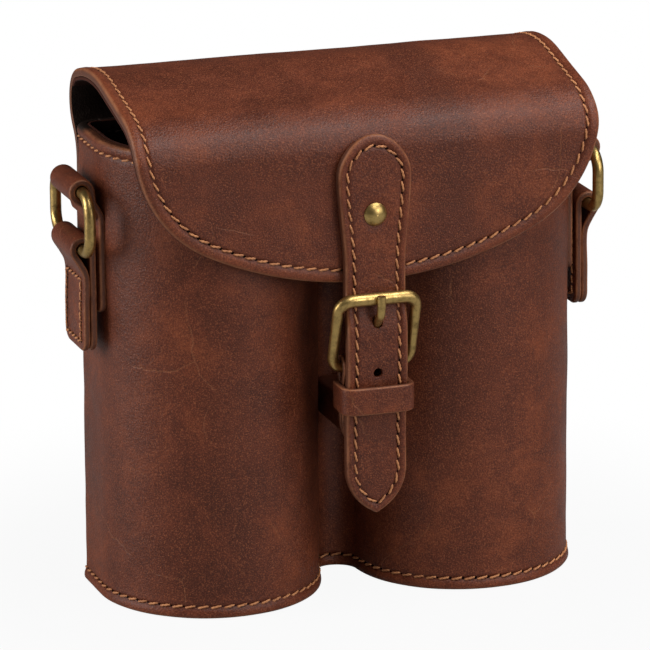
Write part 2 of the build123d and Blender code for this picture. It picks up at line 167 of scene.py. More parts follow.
# Places on the case that the CAD solids share
FLAP_LOW = 0.026  # lower edge of the hinge flap, below the rim
FLAP_TURN = 0.0085
ROLL_REACH = 0.010
ROLL_HIGH = 0.014
CROWN = 0.0208
CROWN_SETBACK = 0.015
SHOULDER = 0.0105
SHOULDER_STEP = 0.0093
LID_DROP = 0.0035
HINGE_SPLIT = 0.0115
LID_BENDS = (-0.014, 0.013, 0.0115, 0.055, 0.026, 0.012)
BUCKLE_BAR = 0.1054
HINGE_BAR = 0.0811
BOW_BOTTOM = 0.062
STRAP_HANG = 0.0003
RIVET_LEVEL = 0.1325
SPARE_HOLE = 0.0805
PAINTED_SHADE_X, PAINTED_SHADE_WIDE = 0.027, 0.013  # band of painted shade on the right lobe's flank towards the valley
RING_Y = 0.003
RING_EYE = 0.0021  # radius of the leather eyes round the rings' bars
FINE = 0.0005  # sampling step along profiles
WELD = 1e-6
SLOW, QUICK = 0.028, 0.009  # reach of the leather's two scales of unevenness
THREAD_SIDES, HOLE_SIDES = 12, 10
HOLE_RINGS = ((1.0, -0.35), (0.94, 0.10), (0.62, 0.20), (0.2, 0.235))  # size and lift of each
INNER_ROUND = 0.0003  # rounding of the walls' inner edges
NEAR = 1e-5  # points of an outline that are closer than this are one
TIP_LENGTH, TIP_ROUND = 0.015, 0.0015  # the strap's point
SPARE_HOLE_RADIUS, PRONG_HOLE_RADIUS = 0.00155, 0.00182
PRONG_HOLE = ((0.0045, 0.0903), (-0.0082, 0.1025))  # its ends, behind the strap's face and level
PRONG_DENT = 0.0982  # level of the leather pressed in by the prong
ROOM = 0.00035  # between the strap and what it passes through
BAR, BAR_ROOM = 0.0018, 0.00025  # half the hinge bar's wire, and its play in the chape
CHAPE_LEATHER, CHAPE_HALF, CHAPE_SPREAD = 0.0022, 0.0103, 0.0075
KEEPER_LEATHER, KEEPER_WIDTH, KEEPER_CORNER = 0.0019, 0.0248, 0.0038
BUCKLE_HALF, BUCKLE_CORNER = 0.0132, 0.0044
SLOT_HALF, SLOT_ROOM = 0.0024, 0.0014  # the prong's slot in the chape's fold
TAB_SPREAD, TAB_PITCH, BOX_INSET, BOX_TOP = 0.0090, 0.0033, 0.0034, 0.0243


# ---------------------------------------------------------------- lines in a plane
def distinct(points, least=WELD):
    """Points of a line without those that lie on the one before."""
    points = np.asarray(points, float)
    step = np.linalg.norm(np.diff(points, axis=0), axis=1)
    return points[np.concatenate([[True], step > least])]


def filled(points):
    """Points of a line with more between them, a sampling step apart."""
    dense = [points[0]]
    for a, b in zip(points, points[1:]):
        count = max(1, int(np.linalg.norm(b - a) / FINE))
        dense += [a + (b - a) * k / count for k in range(1, count + 1)]
    return np.array(dense)


class Track:
    """Line in a plane with its places and outward normals by arc length."""

    def __init__(self, points, closed=False):
        self.points = distinct(points)
        step = np.linalg.norm(np.diff(self.points, axis=0), axis=1)
        self.run = np.concatenate([[0.0], np.cumsum(step)])
        self.length = self.run[-1]
        if closed:
            wrapped = np.vstack([self.points[-2], self.points, self.points[1]])
            tangent = wrapped[2:] - wrapped[:-2]
        else:
            tangent = np.gradient(self.points, self.run, axis=0)
        tangent /= np.linalg.norm(tangent, axis=1)[:, None]
        self.normals = np.stack([tangent[:, 1], -tangent[:, 0]], axis=1)

    def at(self, along, offset=0.0):
        """Places at arc lengths, pushed outwards by offset."""
        u, v, nu, nv = (np.interp(along, self.run, values)
                        for values in (*self.points.T, *self.normals.T))
        size = np.sqrt(nu * nu + nv * nv)
        return u + offset * nu / size, v + offset * nv / size


def arc(centre, radius, start, end, step=FINE):
    """Points of a circular arc between two angles in degrees."""
    count = max(3, int(abs(radians(end - start)) * radius / step) + 2)
    angle = np.radians(np.linspace(start, end, count))
    return np.asarray(centre) + radius * np.stack([np.cos(angle), np.sin(angle)], axis=1)


def rounded_line(corners, bends):
    """Points of a polyline whose inner corners are rounded with the given radii."""
    corners = [np.array(c, float) for c in corners]
    points = [corners[0]]
    for before, here, after, bend in zip(corners, corners[1:], corners[2:], bends):
        into = (here - before) / np.linalg.norm(here - before)
        out = (after - here) / np.linalg.norm(after - here)
        turn = atan2(into[0] * out[1] - into[1] * out[0], into @ out)
        cut = abs(bend) * tan(abs(turn) / 2)
        first = here - into * cut
        side = np.array([-into[1], into[0]]) * (1 if turn > 0 else -1)
        centre = first + side * abs(bend)
        start = atan2(*(first - centre)[::-1])
        count = max(3, int(abs(turn * bend) / FINE) + 2)
        for angle in np.linspace(start, start + turn, count):
            points.append(centre + abs(bend) * np.array([cos(angle), sin(angle)]))
    points.append(corners[-1])
    return filled(points)


def flowing_line(knots, per_span=24):
    """Smooth curve through knots (centripetal Catmull-Rom)."""
    knots = [np.array(k, float) for k in knots]
    knots = [2 * knots[0] - knots[1]] + knots + [2 * knots[-1] - knots[-2]]
    points = []
    for span in zip(knots, knots[1:], knots[2:], knots[3:]):
        gaps = [np.linalg.norm(b - a) ** 0.5 for a, b in zip(span, span[1:])]
        times = np.concatenate([[0.0], np.cumsum(gaps)])
        for t in np.linspace(times[1], times[2], per_span, endpoint=False):
            level = list(span)
            for reach, first in ((1, 0), (2, 0), (1, 1)):
                level = [((times[k + reach] - t) * a + (t - times[k]) * b)
                         / (times[k + reach] - times[k])
                         for k, (a, b) in enumerate(zip(level, level[1:]), first)]
            points.append(level[0])
    points.append(knots[-2])
    return np.array(points)


def smooth(value, low, high):
    """Smooth step from 0 at low to 1 at high."""
    t = np.clip((np.asarray(value, float) - low) / (high - low), 0, 1)
    return t * t * (3 - 2 * t)


# ---------------------------------------------------------------- shared lines of the case
def sizes():
    """The scene's size groups."""
    scene = bpy.context.scene
    return scene.case_body, scene.case_lid, scene.case_strap, scene.case_hardware, scene.case_seams


def lobe_line():
    """Y of the line through the lobe centres, in the frame."""
    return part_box("front_wall")[0][1] + sizes()[0].lobe_radius


def body_track(inset=0.0, whole=False):
    """Plan of the body's wall, from one edge of the back panel round the front to the other."""
    body = sizes()[0]
    valley = (body.lobe_offset**2 + body.valley_floor**2 - body.lobe_radius**2) / (
        2 * (body.lobe_radius + body.valley_floor)
    )
    valley_y = body.valley_floor - valley
    lobe_r = body.lobe_radius - inset
    valley_r = valley + inset
    touch = np.degrees(atan2(valley_y, body.lobe_offset))
    side = body.lobe_offset + body.lobe_radius - inset
    back = body.back_depth - inset
    corner = max(body.back_corner - inset, body.wall / 4)
    half = []
    if whole:
        half.append(np.array([[0.0, back]]))
    half.append(arc((-side + corner, back - corner), corner, 90, 180))
    half.append(arc((-body.lobe_offset, 0), lobe_r, 180, 360 + touch))
    half.append(arc((0, valley_y), valley_r, 180 + touch, 90)[1:])
    left = np.vstack(half)
    right = left[::-1][1:] * (-1, 1)
    return Track(filled(np.vstack([left, right])), closed=whole)


def lid_faces():
    """Lid's front face, rolled back face and flap face, as places behind the lobe line."""
    body, lid = sizes()[:2]
    thickness = lid.leather + lid.lining
    face = -(body.lobe_radius + lid.gap + thickness)
    return face, body.back_depth + ROLL_REACH, body.back_depth + lid.leather


def lid_track():
    """Side profile of the lid's outer face, from the flap's lower edge over to the front edge."""
    body, lid = sizes()[:2]
    face, roll, flap = lid_faces()
    top = body.height
    corners = [
        (flap, top - FLAP_LOW),
        (flap, top - FLAP_TURN),
        (roll, top),
        (roll, top + ROLL_HIGH),
        (body.back_depth - CROWN_SETBACK, top + CROWN),
        (face + SHOULDER_STEP, top + SHOULDER),
        (face, top + LID_DROP),
        (face, lid.bottom),
    ]
    return Track(rounded_line(corners, LID_BENDS))


def strap_track():
    """Side profile of the strap's back face, from its head down to its point."""
    _, lid, strap = sizes()[:3]
    track = lid_track()
    face = lid_faces()[0]
    front = track.run[np.argmax(track.points[:, 1])]
    along = np.linspace(front, track.length, 900)
    y, z = track.at(along)
    on_lid = np.stack([y, z], axis=1)[z <= strap.top]
    z = np.arange(lid.bottom, strap.tip, -FINE)
    middle = (BUCKLE_BAR + HINGE_BAR) / 2
    bow = smooth(z, BUCKLE_BAR, middle) * (1 - smooth(z, HINGE_BAR, BOW_BOTTOM))
    hang = smooth(z, HINGE_BAR, BOW_BOTTOM)
    below = np.stack([face - strap.bow * bow - STRAP_HANG * hang, z], axis=1)
    tip = [[below[-1][0], strap.tip]]
    return Track(np.vstack([on_lid, below[1:], tip]))


def fold_track(centre, fold, half, spread, bottom, lean=0.0):
    """Profile of a strap folded over a bar: up one side, over the bar and down the other.

    half is the strap's thickness; lean sets its two layers to one side of the bar.
    """
    u, v = centre
    neck = v - spread
    sides = []
    for side in (1, -1):
        run = side * half + lean
        gap = side * fold - run
        turn = arc(centre, fold, -28 if side > 0 else 208, 0 if side > 0 else 180, fold / 3)
        if abs(gap) < WELD:
            turn = turn[-1:]
        sides.append(flowing_line([
            (u + run, bottom), (u + run, (bottom + neck) / 2), (u + run, neck),
            (u + run + gap * 0.34, neck + spread * 0.36),
        ] + [tuple(p) for p in turn]))
    over = arc(centre, fold, 0, 180)
    return Track(np.vstack([sides[0], over[1:], sides[1][::-1][1:]]))


# ---------------------------------------------------------------- meshes
def new_object(name, points, faces, marks=None, weld=True):
    """Mesh object from points in lobe coordinates; marks are named values per point."""
    points = np.asarray(points, float) + np.array([0, lobe_line(), 0])
    mesh = bpy.data.meshes.new(name)
    mesh.from_pydata([tuple(p) for p in points], [], [tuple(f) for f in faces])
    for label, values in (marks or {}).items():
        layer = mesh.attributes.new(label, "FLOAT", "POINT")
        layer.data.foreach_set("value", np.asarray(values, np.float32))
    form = bmesh.new()
    form.from_mesh(mesh)
    if weld:
        bmesh.ops.remove_doubles(form, verts=form.verts, dist=WELD)
        bmesh.ops.dissolve_degenerate(form, edges=form.edges, dist=WELD)
    bmesh.ops.recalc_face_normals(form, faces=form.faces)
    form.to_mesh(mesh)
    form.free()
    mesh.shade_smooth()
    thing = bpy.data.objects.new(name, mesh)
    bpy.context.collection.objects.link(thing)
    return thing


def ripple(points, reach, depth, seed):
    """Slow unevenness of hand-made leather, one value per point."""
    shift = Vector((seed * 1.7, seed * 0.9, seed * 2.3))
    return np.array([depth * noise.noise(Vector(p) / reach + shift) for p in points])


def quads(grid):
    """Faces between neighbouring points of a grid of point numbers."""
    corners = grid[:-1, :-1], grid[:-1, 1:], grid[1:, 1:], grid[1:, :-1]
    return np.stack(corners, axis=-1).reshape(-1, 4).tolist()


def skin(rings):
    """Faces between each closed ring of point numbers and the next."""
    rings = np.asarray(rings)
    return quads(np.hstack([rings, rings[:, :1]]))


def border(grid):
    """Point numbers round the edge of a grid of point numbers."""
    return np.concatenate([grid[0, :], grid[1:, -1], grid[-1, -2::-1], grid[-2:0:-1, 0]])


def leather_sheet(name, place, patch, thickness, rounding, seam=None, swell=0.0, uneven=0.0002,
                  shape=None, inner_round=None, lined=True):
    """Sheet of leather with rounded edges and a stitching groove.

    place(a, s, offset) gives points on the sheet's outer face, pushed outwards by offset.
    patch(inset) gives the grid of a and s that the sheet covers, drawn in by inset.
    seam is the inset of the stitching groove, and swell how full the border outside it is.
    lined gives the inner side the lining's dark finish.
    """
    seams = sizes()[4]
    deep, wide = seams.groove, 0.00062
    inner_round = inner_round or rounding
    margin = seam + 0.0022 if seam else rounding + 0.0012

    def face_offset(inset):
        if not seam:
            return 0.0
        dip = deep * np.exp(-((inset - seam) / wide) ** 2)
        border_rise = swell * sin(pi * min(max(inset / (seam - wide), 0), 1))
        return border_rise - dip

    loops = []  # inset, offset, how much of a cut edge it is, inner side
    if seam:
        for step in (1.5, 1.05, 0.75, 0.5, 0.25, 0.0, -0.25, -0.5, -0.75, -1.05, -1.5, -2.1):
            inset = seam + 0.001 * step
            if inset > rounding * 1.15:
                loops.append((inset, face_offset(inset), 0.0, 0.0))
    for angle in np.linspace(0, pi / 2, 6):
        inset, drop = rounding * (1 - sin(angle)), rounding * (1 - cos(angle))
        loops.append((inset, face_offset(inset) - drop, sin(angle) ** 2, 0.0))
    for angle in np.linspace(pi / 2, 0, 6):
        inset, rise = inner_round * (1 - sin(angle)), inner_round * (1 - cos(angle))
        loops.append((inset, rise - thickness, sin(angle) ** 2, 1 - sin(angle)))
    grid_a, grid_s = patch(margin)
    numbers = np.arange(grid_a.size).reshape(grid_a.shape)
    edge_at = border(numbers)
    blocks = [(grid_a.ravel(), grid_s.ravel(), 0.0, 0.0, 0.0, 0.0, 0.0)]
    for inset, offset, cut, back in loops:
        a, s = (values.ravel()[edge_at] for values in patch(inset))
        faced = seam and back == 0
        # groove mark: painted shade along the stitching groove, strongest on the seam line
        dip = np.exp(-((inset - seam) / 0.0011) ** 2) if faced and cut < 0.5 else 0.0
        outside = float(smooth(seam - inset, 0.0004, 0.0016)) if faced else 0.0
        blocks.append((a, s, offset, cut, back, dip, outside))
    blocks.append((grid_a.ravel(), grid_s.ravel(), -thickness, 0.0, 1.0, 0.0, 0.0))
    a, s, offset, edge, inner, groove, rim = (
        np.concatenate([np.broadcast_to(block[k], block[0].shape) for block in blocks])
        for k in range(7))
    base = place(a, s, offset)
    lift = ripple(base, SLOW, uneven, len(name))
    lift = lift + ripple(base, QUICK, uneven * 0.35, len(name) + 5)
    if shape:
        lift = lift + shape(a, s, offset)
    rings = numbers.size + np.arange(len(loops) * len(edge_at)).reshape(-1, len(edge_at))
    inside = numbers + numbers.size + rings.size
    faces = quads(numbers) + skin([edge_at, *rings, border(inside)]) + quads(inside)
    marks = {"edge": edge, "inner": inner * lined, "groove": groove, "rim": rim}
    return new_object(name, place(a, s, offset + lift), faces, marks)


def oblong_patch(low_a, high_a, low_s, high_s, rows, cols):
    """Patch of a plain rectangle in a and s; rows run along a."""
    def patch(inset):
        a = np.linspace(low_a + inset, high_a - inset, rows)
        s = np.linspace(low_s + inset, high_s - inset, cols)
        return np.meshgrid(a, s, indexing="ij")
    return patch


def outline_patch(outline, cols):
    """Patch between an outline's right side and its mirror image; rows follow the outline.

    outline holds points (a, s) from one end to the other, and its outward normals.
    """
    points, normals = outline

    def patch(inset):
        a, s = (points - normals * inset).T.copy()
        middle = len(a) // 2
        for end_a, end_s in ((a[:middle], s[:middle]), (a[middle:][::-1], s[middle:][::-1])):
            crossed = np.nonzero(end_a < 0)[0]
            if len(crossed):
                k = crossed[-1]
                share = end_a[k + 1] / (end_a[k + 1] - end_a[k])
                end_s[:k + 1] = end_s[k + 1] + (end_s[k] - end_s[k + 1]) * share
                end_a[:k + 1] = 0
        across = np.linspace(-1, 1, cols)
        return a[:, None] * across, np.repeat(s[:, None], cols, axis=1)
    return patch


def strip_outline(half, long, bend, step=0.0011):
    """Right side of a strap's outline with rounded ends, and its outward normals."""
    angle = np.radians(np.linspace(-90, 0, 9))
    low = np.stack([np.cos(angle), np.sin(angle)], axis=1)
    high = (low * (1, -1))[::-1]
    side = np.linspace(bend, long - bend, int((long - 2 * bend) / step) + 2)[1:-1]
    middle = np.stack([np.full(len(side), half), side], axis=1)
    flat = np.tile([1.0, 0.0], (len(side), 1))
    points = np.vstack([(half - bend, bend) + low * bend, middle,
                        (half - bend, long - bend) + high * bend])
    return points, np.vstack([low, flat, high])


def line_normals(points):
    """Outward normals of an outline that runs clockwise down its right side."""
    tangent = np.gradient(points, axis=0)
    tangent /= np.linalg.norm(tangent, axis=1)[:, None]
    return np.stack([-tangent[:, 1], tangent[:, 0]], axis=1)


def rod(name, path, radius, sides, closed=False):
    """Round bar along a 3D path in lobe coordinates; radius may change along it."""
    path = np.asarray(path, float)
    radius = np.broadcast_to(radius, len(path))
    if closed:
        tangent = np.roll(path, -1, axis=0) - np.roll(path, 1, axis=0)
    else:
        tangent = np.gradient(path, axis=0)
    tangent /= np.linalg.norm(tangent, axis=1)[:, None]
    side = np.cross(tangent[0], [0.31, 0.87, 0.38])
    side /= np.linalg.norm(side)
    points = []
    for here, along, r in zip(path, tangent, radius):
        side = side - along * (side @ along)
        side /= np.linalg.norm(side)
        other = np.cross(along, side)
        for k in range(sides):
            t = 2 * pi * k / sides
            points.append(here + r * (cos(t) * side + sin(t) * other))
    rings = np.arange(len(path) * sides).reshape(-1, sides)
    if closed:
        return new_object(name, points, skin([*rings, rings[0]]))
    return new_object(name, points, skin(rings) + [rings[0].tolist(), rings[-1].tolist()])


def band(name, track, section, level=0.0, uneven=0.0, step=0.0007):
    """Closed loop of leather: a section of (offset, height) swept round a closed plan track."""
    count = int(track.length / step)
    along = np.linspace(0, track.length, count, endpoint=False)
    size = len(section)

    def places(lift):
        points = np.zeros((count, size, 3))
        for k, (off, height) in enumerate(section):
            x, y = track.at(along, off + lift[:, k])
            points[:, k] = np.stack([x, y, np.full(count, level + height)], axis=1)
        return points

    lift = np.zeros((count, size))
    if uneven:
        lift = ripple(places(lift).reshape(-1, 3), 0.012, uneven, 3).reshape(count, size)
    points = places(lift).reshape(-1, 3)
    offsets, heights = np.array(section).T
    cut = 1 - np.minimum(heights - heights.min(), heights.max() - heights) / 0.0005
    edge = np.tile(np.clip(cut, 0, 1), count)
    inner = np.tile(offsets <= offsets.min() + NEAR, count)
    rings = np.arange(count * size).reshape(count, size)
    marks = {"edge": edge, "inner": inner, "groove": 0 * edge}
    return new_object(name, points, skin([*rings, rings[0]]), marks)


def soft_rectangle(thickness, height, radius, rows=8):
    """Rounded rectangle as (offset, height), from the outer face inwards."""
    points = []
    for cx, cy, a0 in (
        (-radius, radius, -90), (-radius, height - radius, 0),
        (-thickness + radius, height - radius, 90), (-thickness + radius, radius, 180),
    ):
        for angle in np.radians(np.linspace(a0, a0 + 90, 6)):
            points.append((cx + radius * cos(angle), cy + radius * sin(angle)))
    dense = []
    for a, b in zip(points, points[1:] + points[:1]):
        span = hypot(b[0] - a[0], b[1] - a[1])
        count = max(1, min(rows, int(span / 0.0008)))
        dense += [(a[0] + (b[0] - a[0]) * k / count, a[1] + (b[1] - a[1]) * k / count)
                  for k in range(count)]
    return dense


# ---------------------------------------------------------------- stitching
def seam_line(place, a, s, offset):
    """Places, directions and outward normals along a seam on a sheet."""
    a, s = np.asarray(a, float), np.asarray(s, float)
    points = place(a, s, np.full(len(a), offset))
    above = place(a, s, np.full(len(a), offset + 0.001))
    normals = (above - points) / 0.001
    return points, normals


def stitch_row(name, lines, pitch=None, closed=False, rise=None):
    """Saddle stitches of twisted thread along seams, with a needle hole between each two.

    lines is a list of (points, normals). Each stitch dips into a hole at both ends, lies a
    little across the line and is twisted from two plies.
    """
    seams = sizes()[4]
    pitch, radius = pitch or seams.pitch, seams.thread
    rise = radius * 0.85 if rise is None else rise
    angle, t = np.arange(THREAD_SIDES) * 2 * pi / THREAD_SIDES, np.linspace(0.10, 0.90, 13)
    swing = 2 * t - 1
    height = rise - (rise + radius * 1.5) * np.abs(swing) ** 5
    swell = radius * (1 - 0.38 * np.abs(swing) ** 3)
    turn = np.arange(HOLE_SIDES) * 2 * pi / HOLE_SIDES
    turn_cos, turn_sin = np.cos(turn)[:, None], np.sin(turn)[:, None]
    blocks, faces, hole_faces, first = [], [], [], 0

    def add(grid, into, ends):
        """Adds rings of points and the faces between them; returns the number of the next."""
        rings = first + np.arange(grid.shape[0] * grid.shape[1]).reshape(grid.shape[:2])
        blocks.append(grid.reshape(-1, 3))
        into += skin(rings) + [rings[k].tolist()[::way] for k, way in ends]
        return first + rings.size

    for line, normals in lines:
        run = np.concatenate([[0], np.cumsum(np.linalg.norm(np.diff(line, axis=0), axis=1))])
        count = max(1, int(round(run[-1] / pitch)))
        real = run[-1] / count

        def spot(at, which):
            return np.stack([np.interp(at, run, which[:, c]) for c in range(3)], axis=-1)

        def seat(at, reach):
            """Places at distances along the seam, with the ways up, ahead and across."""
            up = spot(at, normals)
            up /= np.linalg.norm(up, axis=1)[:, None]
            ahead = (spot(np.minimum(at + real * reach, run[-1]), line)
                     - spot(np.maximum(at - real * reach, 0), line))
            ahead /= np.linalg.norm(ahead, axis=1)[:, None]
            return spot(at, line), up, ahead, np.cross(up, ahead)

        for k in range(count):
            wobble = 0.06 * noise.noise(Vector((k * 0.73, count * 0.31, len(name))))
            here, up, _, across = seat((k + t) * real, 0.05)
            slant = (1.15 + wobble) * radius * swing
            middle = here + up * height[:, None] + across * slant[:, None]
            twist = (3.2 * pi * t + wobble * 9)[:, None]
            r = swell[:, None] * (0.87 + 0.17 * np.cos(2 * (angle - twist)))
            grid = middle[:, None] + (r * np.cos(angle))[..., None] * across[:, None]
            grid += 0.85 * (r * np.sin(angle))[..., None] * up[:, None]
            first = add(grid, faces, ((0, -1), (-1, 1)))
        for k in range(count if closed else count + 1):
            (here,), (up,), (ahead,), (across,) = seat(np.array([min(k * real, run[-1])]), 0.1)
            spread = 1.4 * turn_cos * (0.85 * ahead + 0.45 * across) + 1.1 * turn_sin * across
            grid = np.stack([here + radius * (ring * spread + lift * up)
                             for ring, lift in HOLE_RINGS])
            first = add(grid, hole_faces, ((-1, 1), (0, -1)))
    thing = new_object(name, np.vstack(blocks), faces + hole_faces, weld=False)
    paint(thing, waxed_thread(), needle_hole_shade())
    # the holes' faces take the painted shade
    for face in thing.data.polygons[len(faces):]:
        face.material_index = 1
    return thing


# ---------------------------------------------------------------- finishes
class Nodes:
    """Short way to write the nodes of a material, or of the world that it is given."""

    def __init__(self, name, world=None):
        self.material = world or bpy.data.materials.new(name)
        self.material.use_nodes = True
        self.tree = self.material.node_tree
        if not world:
            self.shader = self.tree.nodes["Principled BSDF"]
            self.coords = self.add("ShaderNodeTexCoord").outputs["Object"]

    def add(self, kind, **settings):
        node = self.tree.nodes.new(kind)
        for key, value in settings.items():
            if key in node.inputs:
                self.put(value, node.inputs[key])
            else:
                setattr(node, key, value)
        return node

    def put(self, value, socket):
        if isinstance(value, bpy.types.NodeSocket):
            self.tree.links.new(value, socket)
        else:
            socket.default_value = value

    def noise(self, scale, detail=3.0, roughness=0.55, distortion=0.0):
        return self.add("ShaderNodeTexNoise", Vector=self.coords, Scale=scale, Detail=detail,
                        Roughness=roughness, Distortion=distortion).outputs["Fac"]

    def cells(self, scale):
        return self.add("ShaderNodeTexVoronoi", feature="SMOOTH_F1", Vector=self.coords,
                        Scale=scale, Smoothness=0.6).outputs["Distance"]

    def near(self, x, wide):
        """1 in an upright band at x above the foot, 0 further than wide from it."""
        split = self.add("ShaderNodeSeparateXYZ", Vector=self.coords)
        away = self.sum(self.sum(split.outputs["X"], x, "SUBTRACT"), 0.0, "ABSOLUTE")
        above = self.span(split.outputs["Z"], 0.03, 0.06)
        return self.times(self.span(away, 0.2 * wide, wide, 1.0, 0.0), above)

    def creases(self, scale, width, wander):
        """Thin lines of even width that wander over the surface, 1 on a line and 0 off it."""
        shift = self.add("ShaderNodeTexNoise", Vector=self.coords, Scale=1.6 * scale, Detail=4.0)
        moved = self.add("ShaderNodeVectorMath", operation="MULTIPLY_ADD")
        for socket, value in zip(moved.inputs, (shift.outputs["Color"], (2 * wander,) * 3,
                                                self.coords)):
            self.put(value, socket)
        lines = self.add("ShaderNodeTexVoronoi", feature="DISTANCE_TO_EDGE",
                         Vector=moved.outputs[0], Scale=scale)
        return self.span(lines.outputs["Distance"], 0.0, width, 1.0, 0.0)

    def span(self, value, low, high, to_low=0.0, to_high=1.0, soft=True):
        """Carries values between low and high over to to_low and to_high."""
        return self.add("ShaderNodeMapRange", **{
            "interpolation_type": "SMOOTHSTEP" if soft else "LINEAR", "Value": value,
            "From Min": low, "From Max": high, "To Min": to_low, "To Max": to_high,
        }).outputs["Result"]

    def sum(self, a, b, operation="ADD"):
        node = self.add("ShaderNodeMath", operation=operation)
        for socket, value in zip(node.inputs, (a, b)):
            self.put(value, socket)
        return node.outputs[0]

    def times(self, a, b):
        return self.sum(a, b, "MULTIPLY")

    def mix(self, factor, a, b):
        node = self.add("ShaderNodeMix", data_type="RGBA", Factor=factor)
        self.put(a, node.inputs[6])
        self.put(b, node.inputs[7])
        return node.outputs[2]

    def mark(self, name):
        return self.add("ShaderNodeAttribute", attribute_name=name).outputs["Fac"]

    def bump(self, height, strength, distance, under=None):
        node = self.add("ShaderNodeBump", Height=height, Strength=strength, Distance=distance)
        if under is not None:
            self.put(under, node.inputs["Normal"])
        return node.outputs["Normal"]

    def finish(self, **settings):
        for key, value in settings.items():
            self.put(value, self.shader.inputs[key.replace("_", " ")])
        return self.material


def tone(name):
    """Colour of a finish, with alpha."""
    return (*getattr(bpy.context.scene.case_finishes, name), 1.0)


def paint(thing, *materials):
    """Gives an object its materials."""
    thing.data.materials.clear()
    for material in materials:
        thing.data.materials.append(material)
    return thing


def once(make):
    """A finish is made once and shared by all the pieces that have it."""
    made = {}

    def shared(*args):
        if args not in made:
            made[args] = make(*args)
        return made[args]

    shared.__doc__ = make.__doc__
    return shared


@once
def saddle_leather():
    """Waxed reddish brown leather with mottling, scratches, a fine grain and burnished edges."""
    n = Nodes("Saddle leather")
    broad = n.noise(17.0, 4.0, 0.6, 0.8)
    patches = n.noise(62.0, 5.0, 0.66, 0.5)
    clouds = n.sum(n.times(broad, 0.5), n.times(patches, 0.5))
    colour_ = n.mix(n.span(clouds, 0.36, 0.53, 0.3, 1.0), tone("shade"), tone("leather"))
    colour_ = n.mix(n.span(clouds, 0.49, 0.62, 0.0, 0.85), colour_, tone("glow"))
    # painted shade: an upright band on the right lobe's flank by the valley is darkened towards the
    # shade tone
    painted_shade = n.times(n.near(PAINTED_SHADE_X, PAINTED_SHADE_WIDE), n.span(patches, 0.3, 0.6, 0.25, 0.75))
    colour_ = n.mix(painted_shade, colour_, tone("shade"))
    scratch = n.creases(24.0, 0.009, 0.010)
    scratch = n.times(scratch, n.span(n.noise(31.0, 2.0), 0.53, 0.62))
    colour_ = n.mix(n.times(scratch, 0.38), colour_, tone("bevel"))
    waxed = n.times(n.mark("rim"), n.span(patches, 0.35, 0.6, 0.15, 0.5))
    colour_ = n.mix(waxed, colour_, tone("glow"))
    speck = n.noise(2300.0, 2.0, 0.7)
    pores = n.noise(420.0, 3.0, 0.6)
    colour_ = n.mix(n.span(speck, 0.52, 0.74, 0.0, 0.72), colour_, tone("speck"))
    shade = n.times(n.span(speck, 0.30, 0.56, 0.50, 1.06, False),
                    n.span(pores, 0.3, 0.7, 0.88, 1.12, False))
    dark = n.add("ShaderNodeVectorMath", operation="SCALE", Vector=colour_, Scale=shade)
    # grain darkening, then painted shade: the stitching grooves are darkened towards the shade tone
    colour_ = n.mix(n.times(n.mark("groove"), 0.55), dark.outputs[0], tone("shade"))
    edge = n.mark("edge")
    rubbed = n.times(edge, n.span(patches, 0.3, 0.7, 0.45, 0.95))
    colour_ = n.mix(rubbed, colour_, tone("cut_edge"))
    # painted highlight along the middle of each edge's rounding, partly the rubbed burnish of the
    # edge
    bevel = n.times(n.times(edge, n.sum(1.0, edge, "SUBTRACT")), 4.0)
    bevel = n.times(bevel, n.span(n.noise(120.0, 4.0, 0.65), 0.32, 0.62, 0.15, 0.85))
    colour_ = n.mix(bevel, colour_, tone("bevel"))
    # inner sides take the lining's finish; the inner mark also carries the painted shade on the
    # wall's top edge at the back
    colour_ = n.mix(n.mark("inner"), colour_, tone("lining"))
    grain = n.sum(n.cells(1500.0), n.times(speck, 0.8))
    grain = n.bump(n.sum(grain, n.times(scratch, 0.8), "SUBTRACT"), 0.5, 0.00022)
    normal = n.bump(n.noise(190.0, 4.0, 0.6), 0.25, 0.0006, grain)
    rough = n.span(n.sum(patches, n.times(speck, 0.35)), 0.4, 0.95, 0.40, 0.54)
    return n.finish(Base_Color=colour_, Roughness=rough, Normal=normal, Specular_IOR_Level=0.31)


@once
def lining_leather():
    """Matt dark lining."""
    n = Nodes("Lining leather")
    cloud = n.noise(60.0, 4.0)
    colour_ = n.mix(n.span(cloud, 0.3, 0.7), tone("lining"), tone("shade"))
    colour_ = n.mix(0.55, colour_, tone("lining"))
    colour_ = n.mix(n.times(n.mark("edge"), 0.7), colour_, tone("shade"))
    normal = n.bump(n.sum(n.cells(800.0), n.noise(1800.0)), 0.25, 0.0002)
    return n.finish(Base_Color=colour_, Roughness=0.82, Normal=normal, Specular_IOR_Level=0.2)


@once
def felt():
    """Pressed felt."""
    n = Nodes("Felt")
    fibre = n.noise(900.0, 5.0, 0.7, 1.5)
    colour_ = n.mix(n.span(fibre, 0.3, 0.7), tone("lining"), tone("shade"))
    return n.finish(Base_Color=colour_, Roughness=0.95, Normal=n.bump(fibre, 0.6, 0.0005),
                    Specular_IOR_Level=0.1, Sheen_Weight=0.3, Sheen_Roughness=0.6)


@once
def antique_brass():
    """Browned brass, rubbed bright where it is handled."""
    n = Nodes("Antique brass")
    stain = n.noise(240.0, 5.0, 0.65, 0.6)
    spot = n.noise(1100.0, 3.0, 0.6)
    mask = n.sum(n.span(stain, 0.44, 0.70, 0.0, 0.60), n.span(spot, 0.5, 0.72, 0.0, 0.35))
    colour_ = n.mix(mask, tone("brass"), tone("tarnish"))
    rough = n.span(stain, 0.3, 0.7, 0.30, 0.46)
    normal = n.bump(n.sum(spot, n.noise(380.0, 3.0)), 0.10, 0.00020)
    return n.finish(Base_Color=colour_, Metallic=1.0, Roughness=rough, Normal=normal)


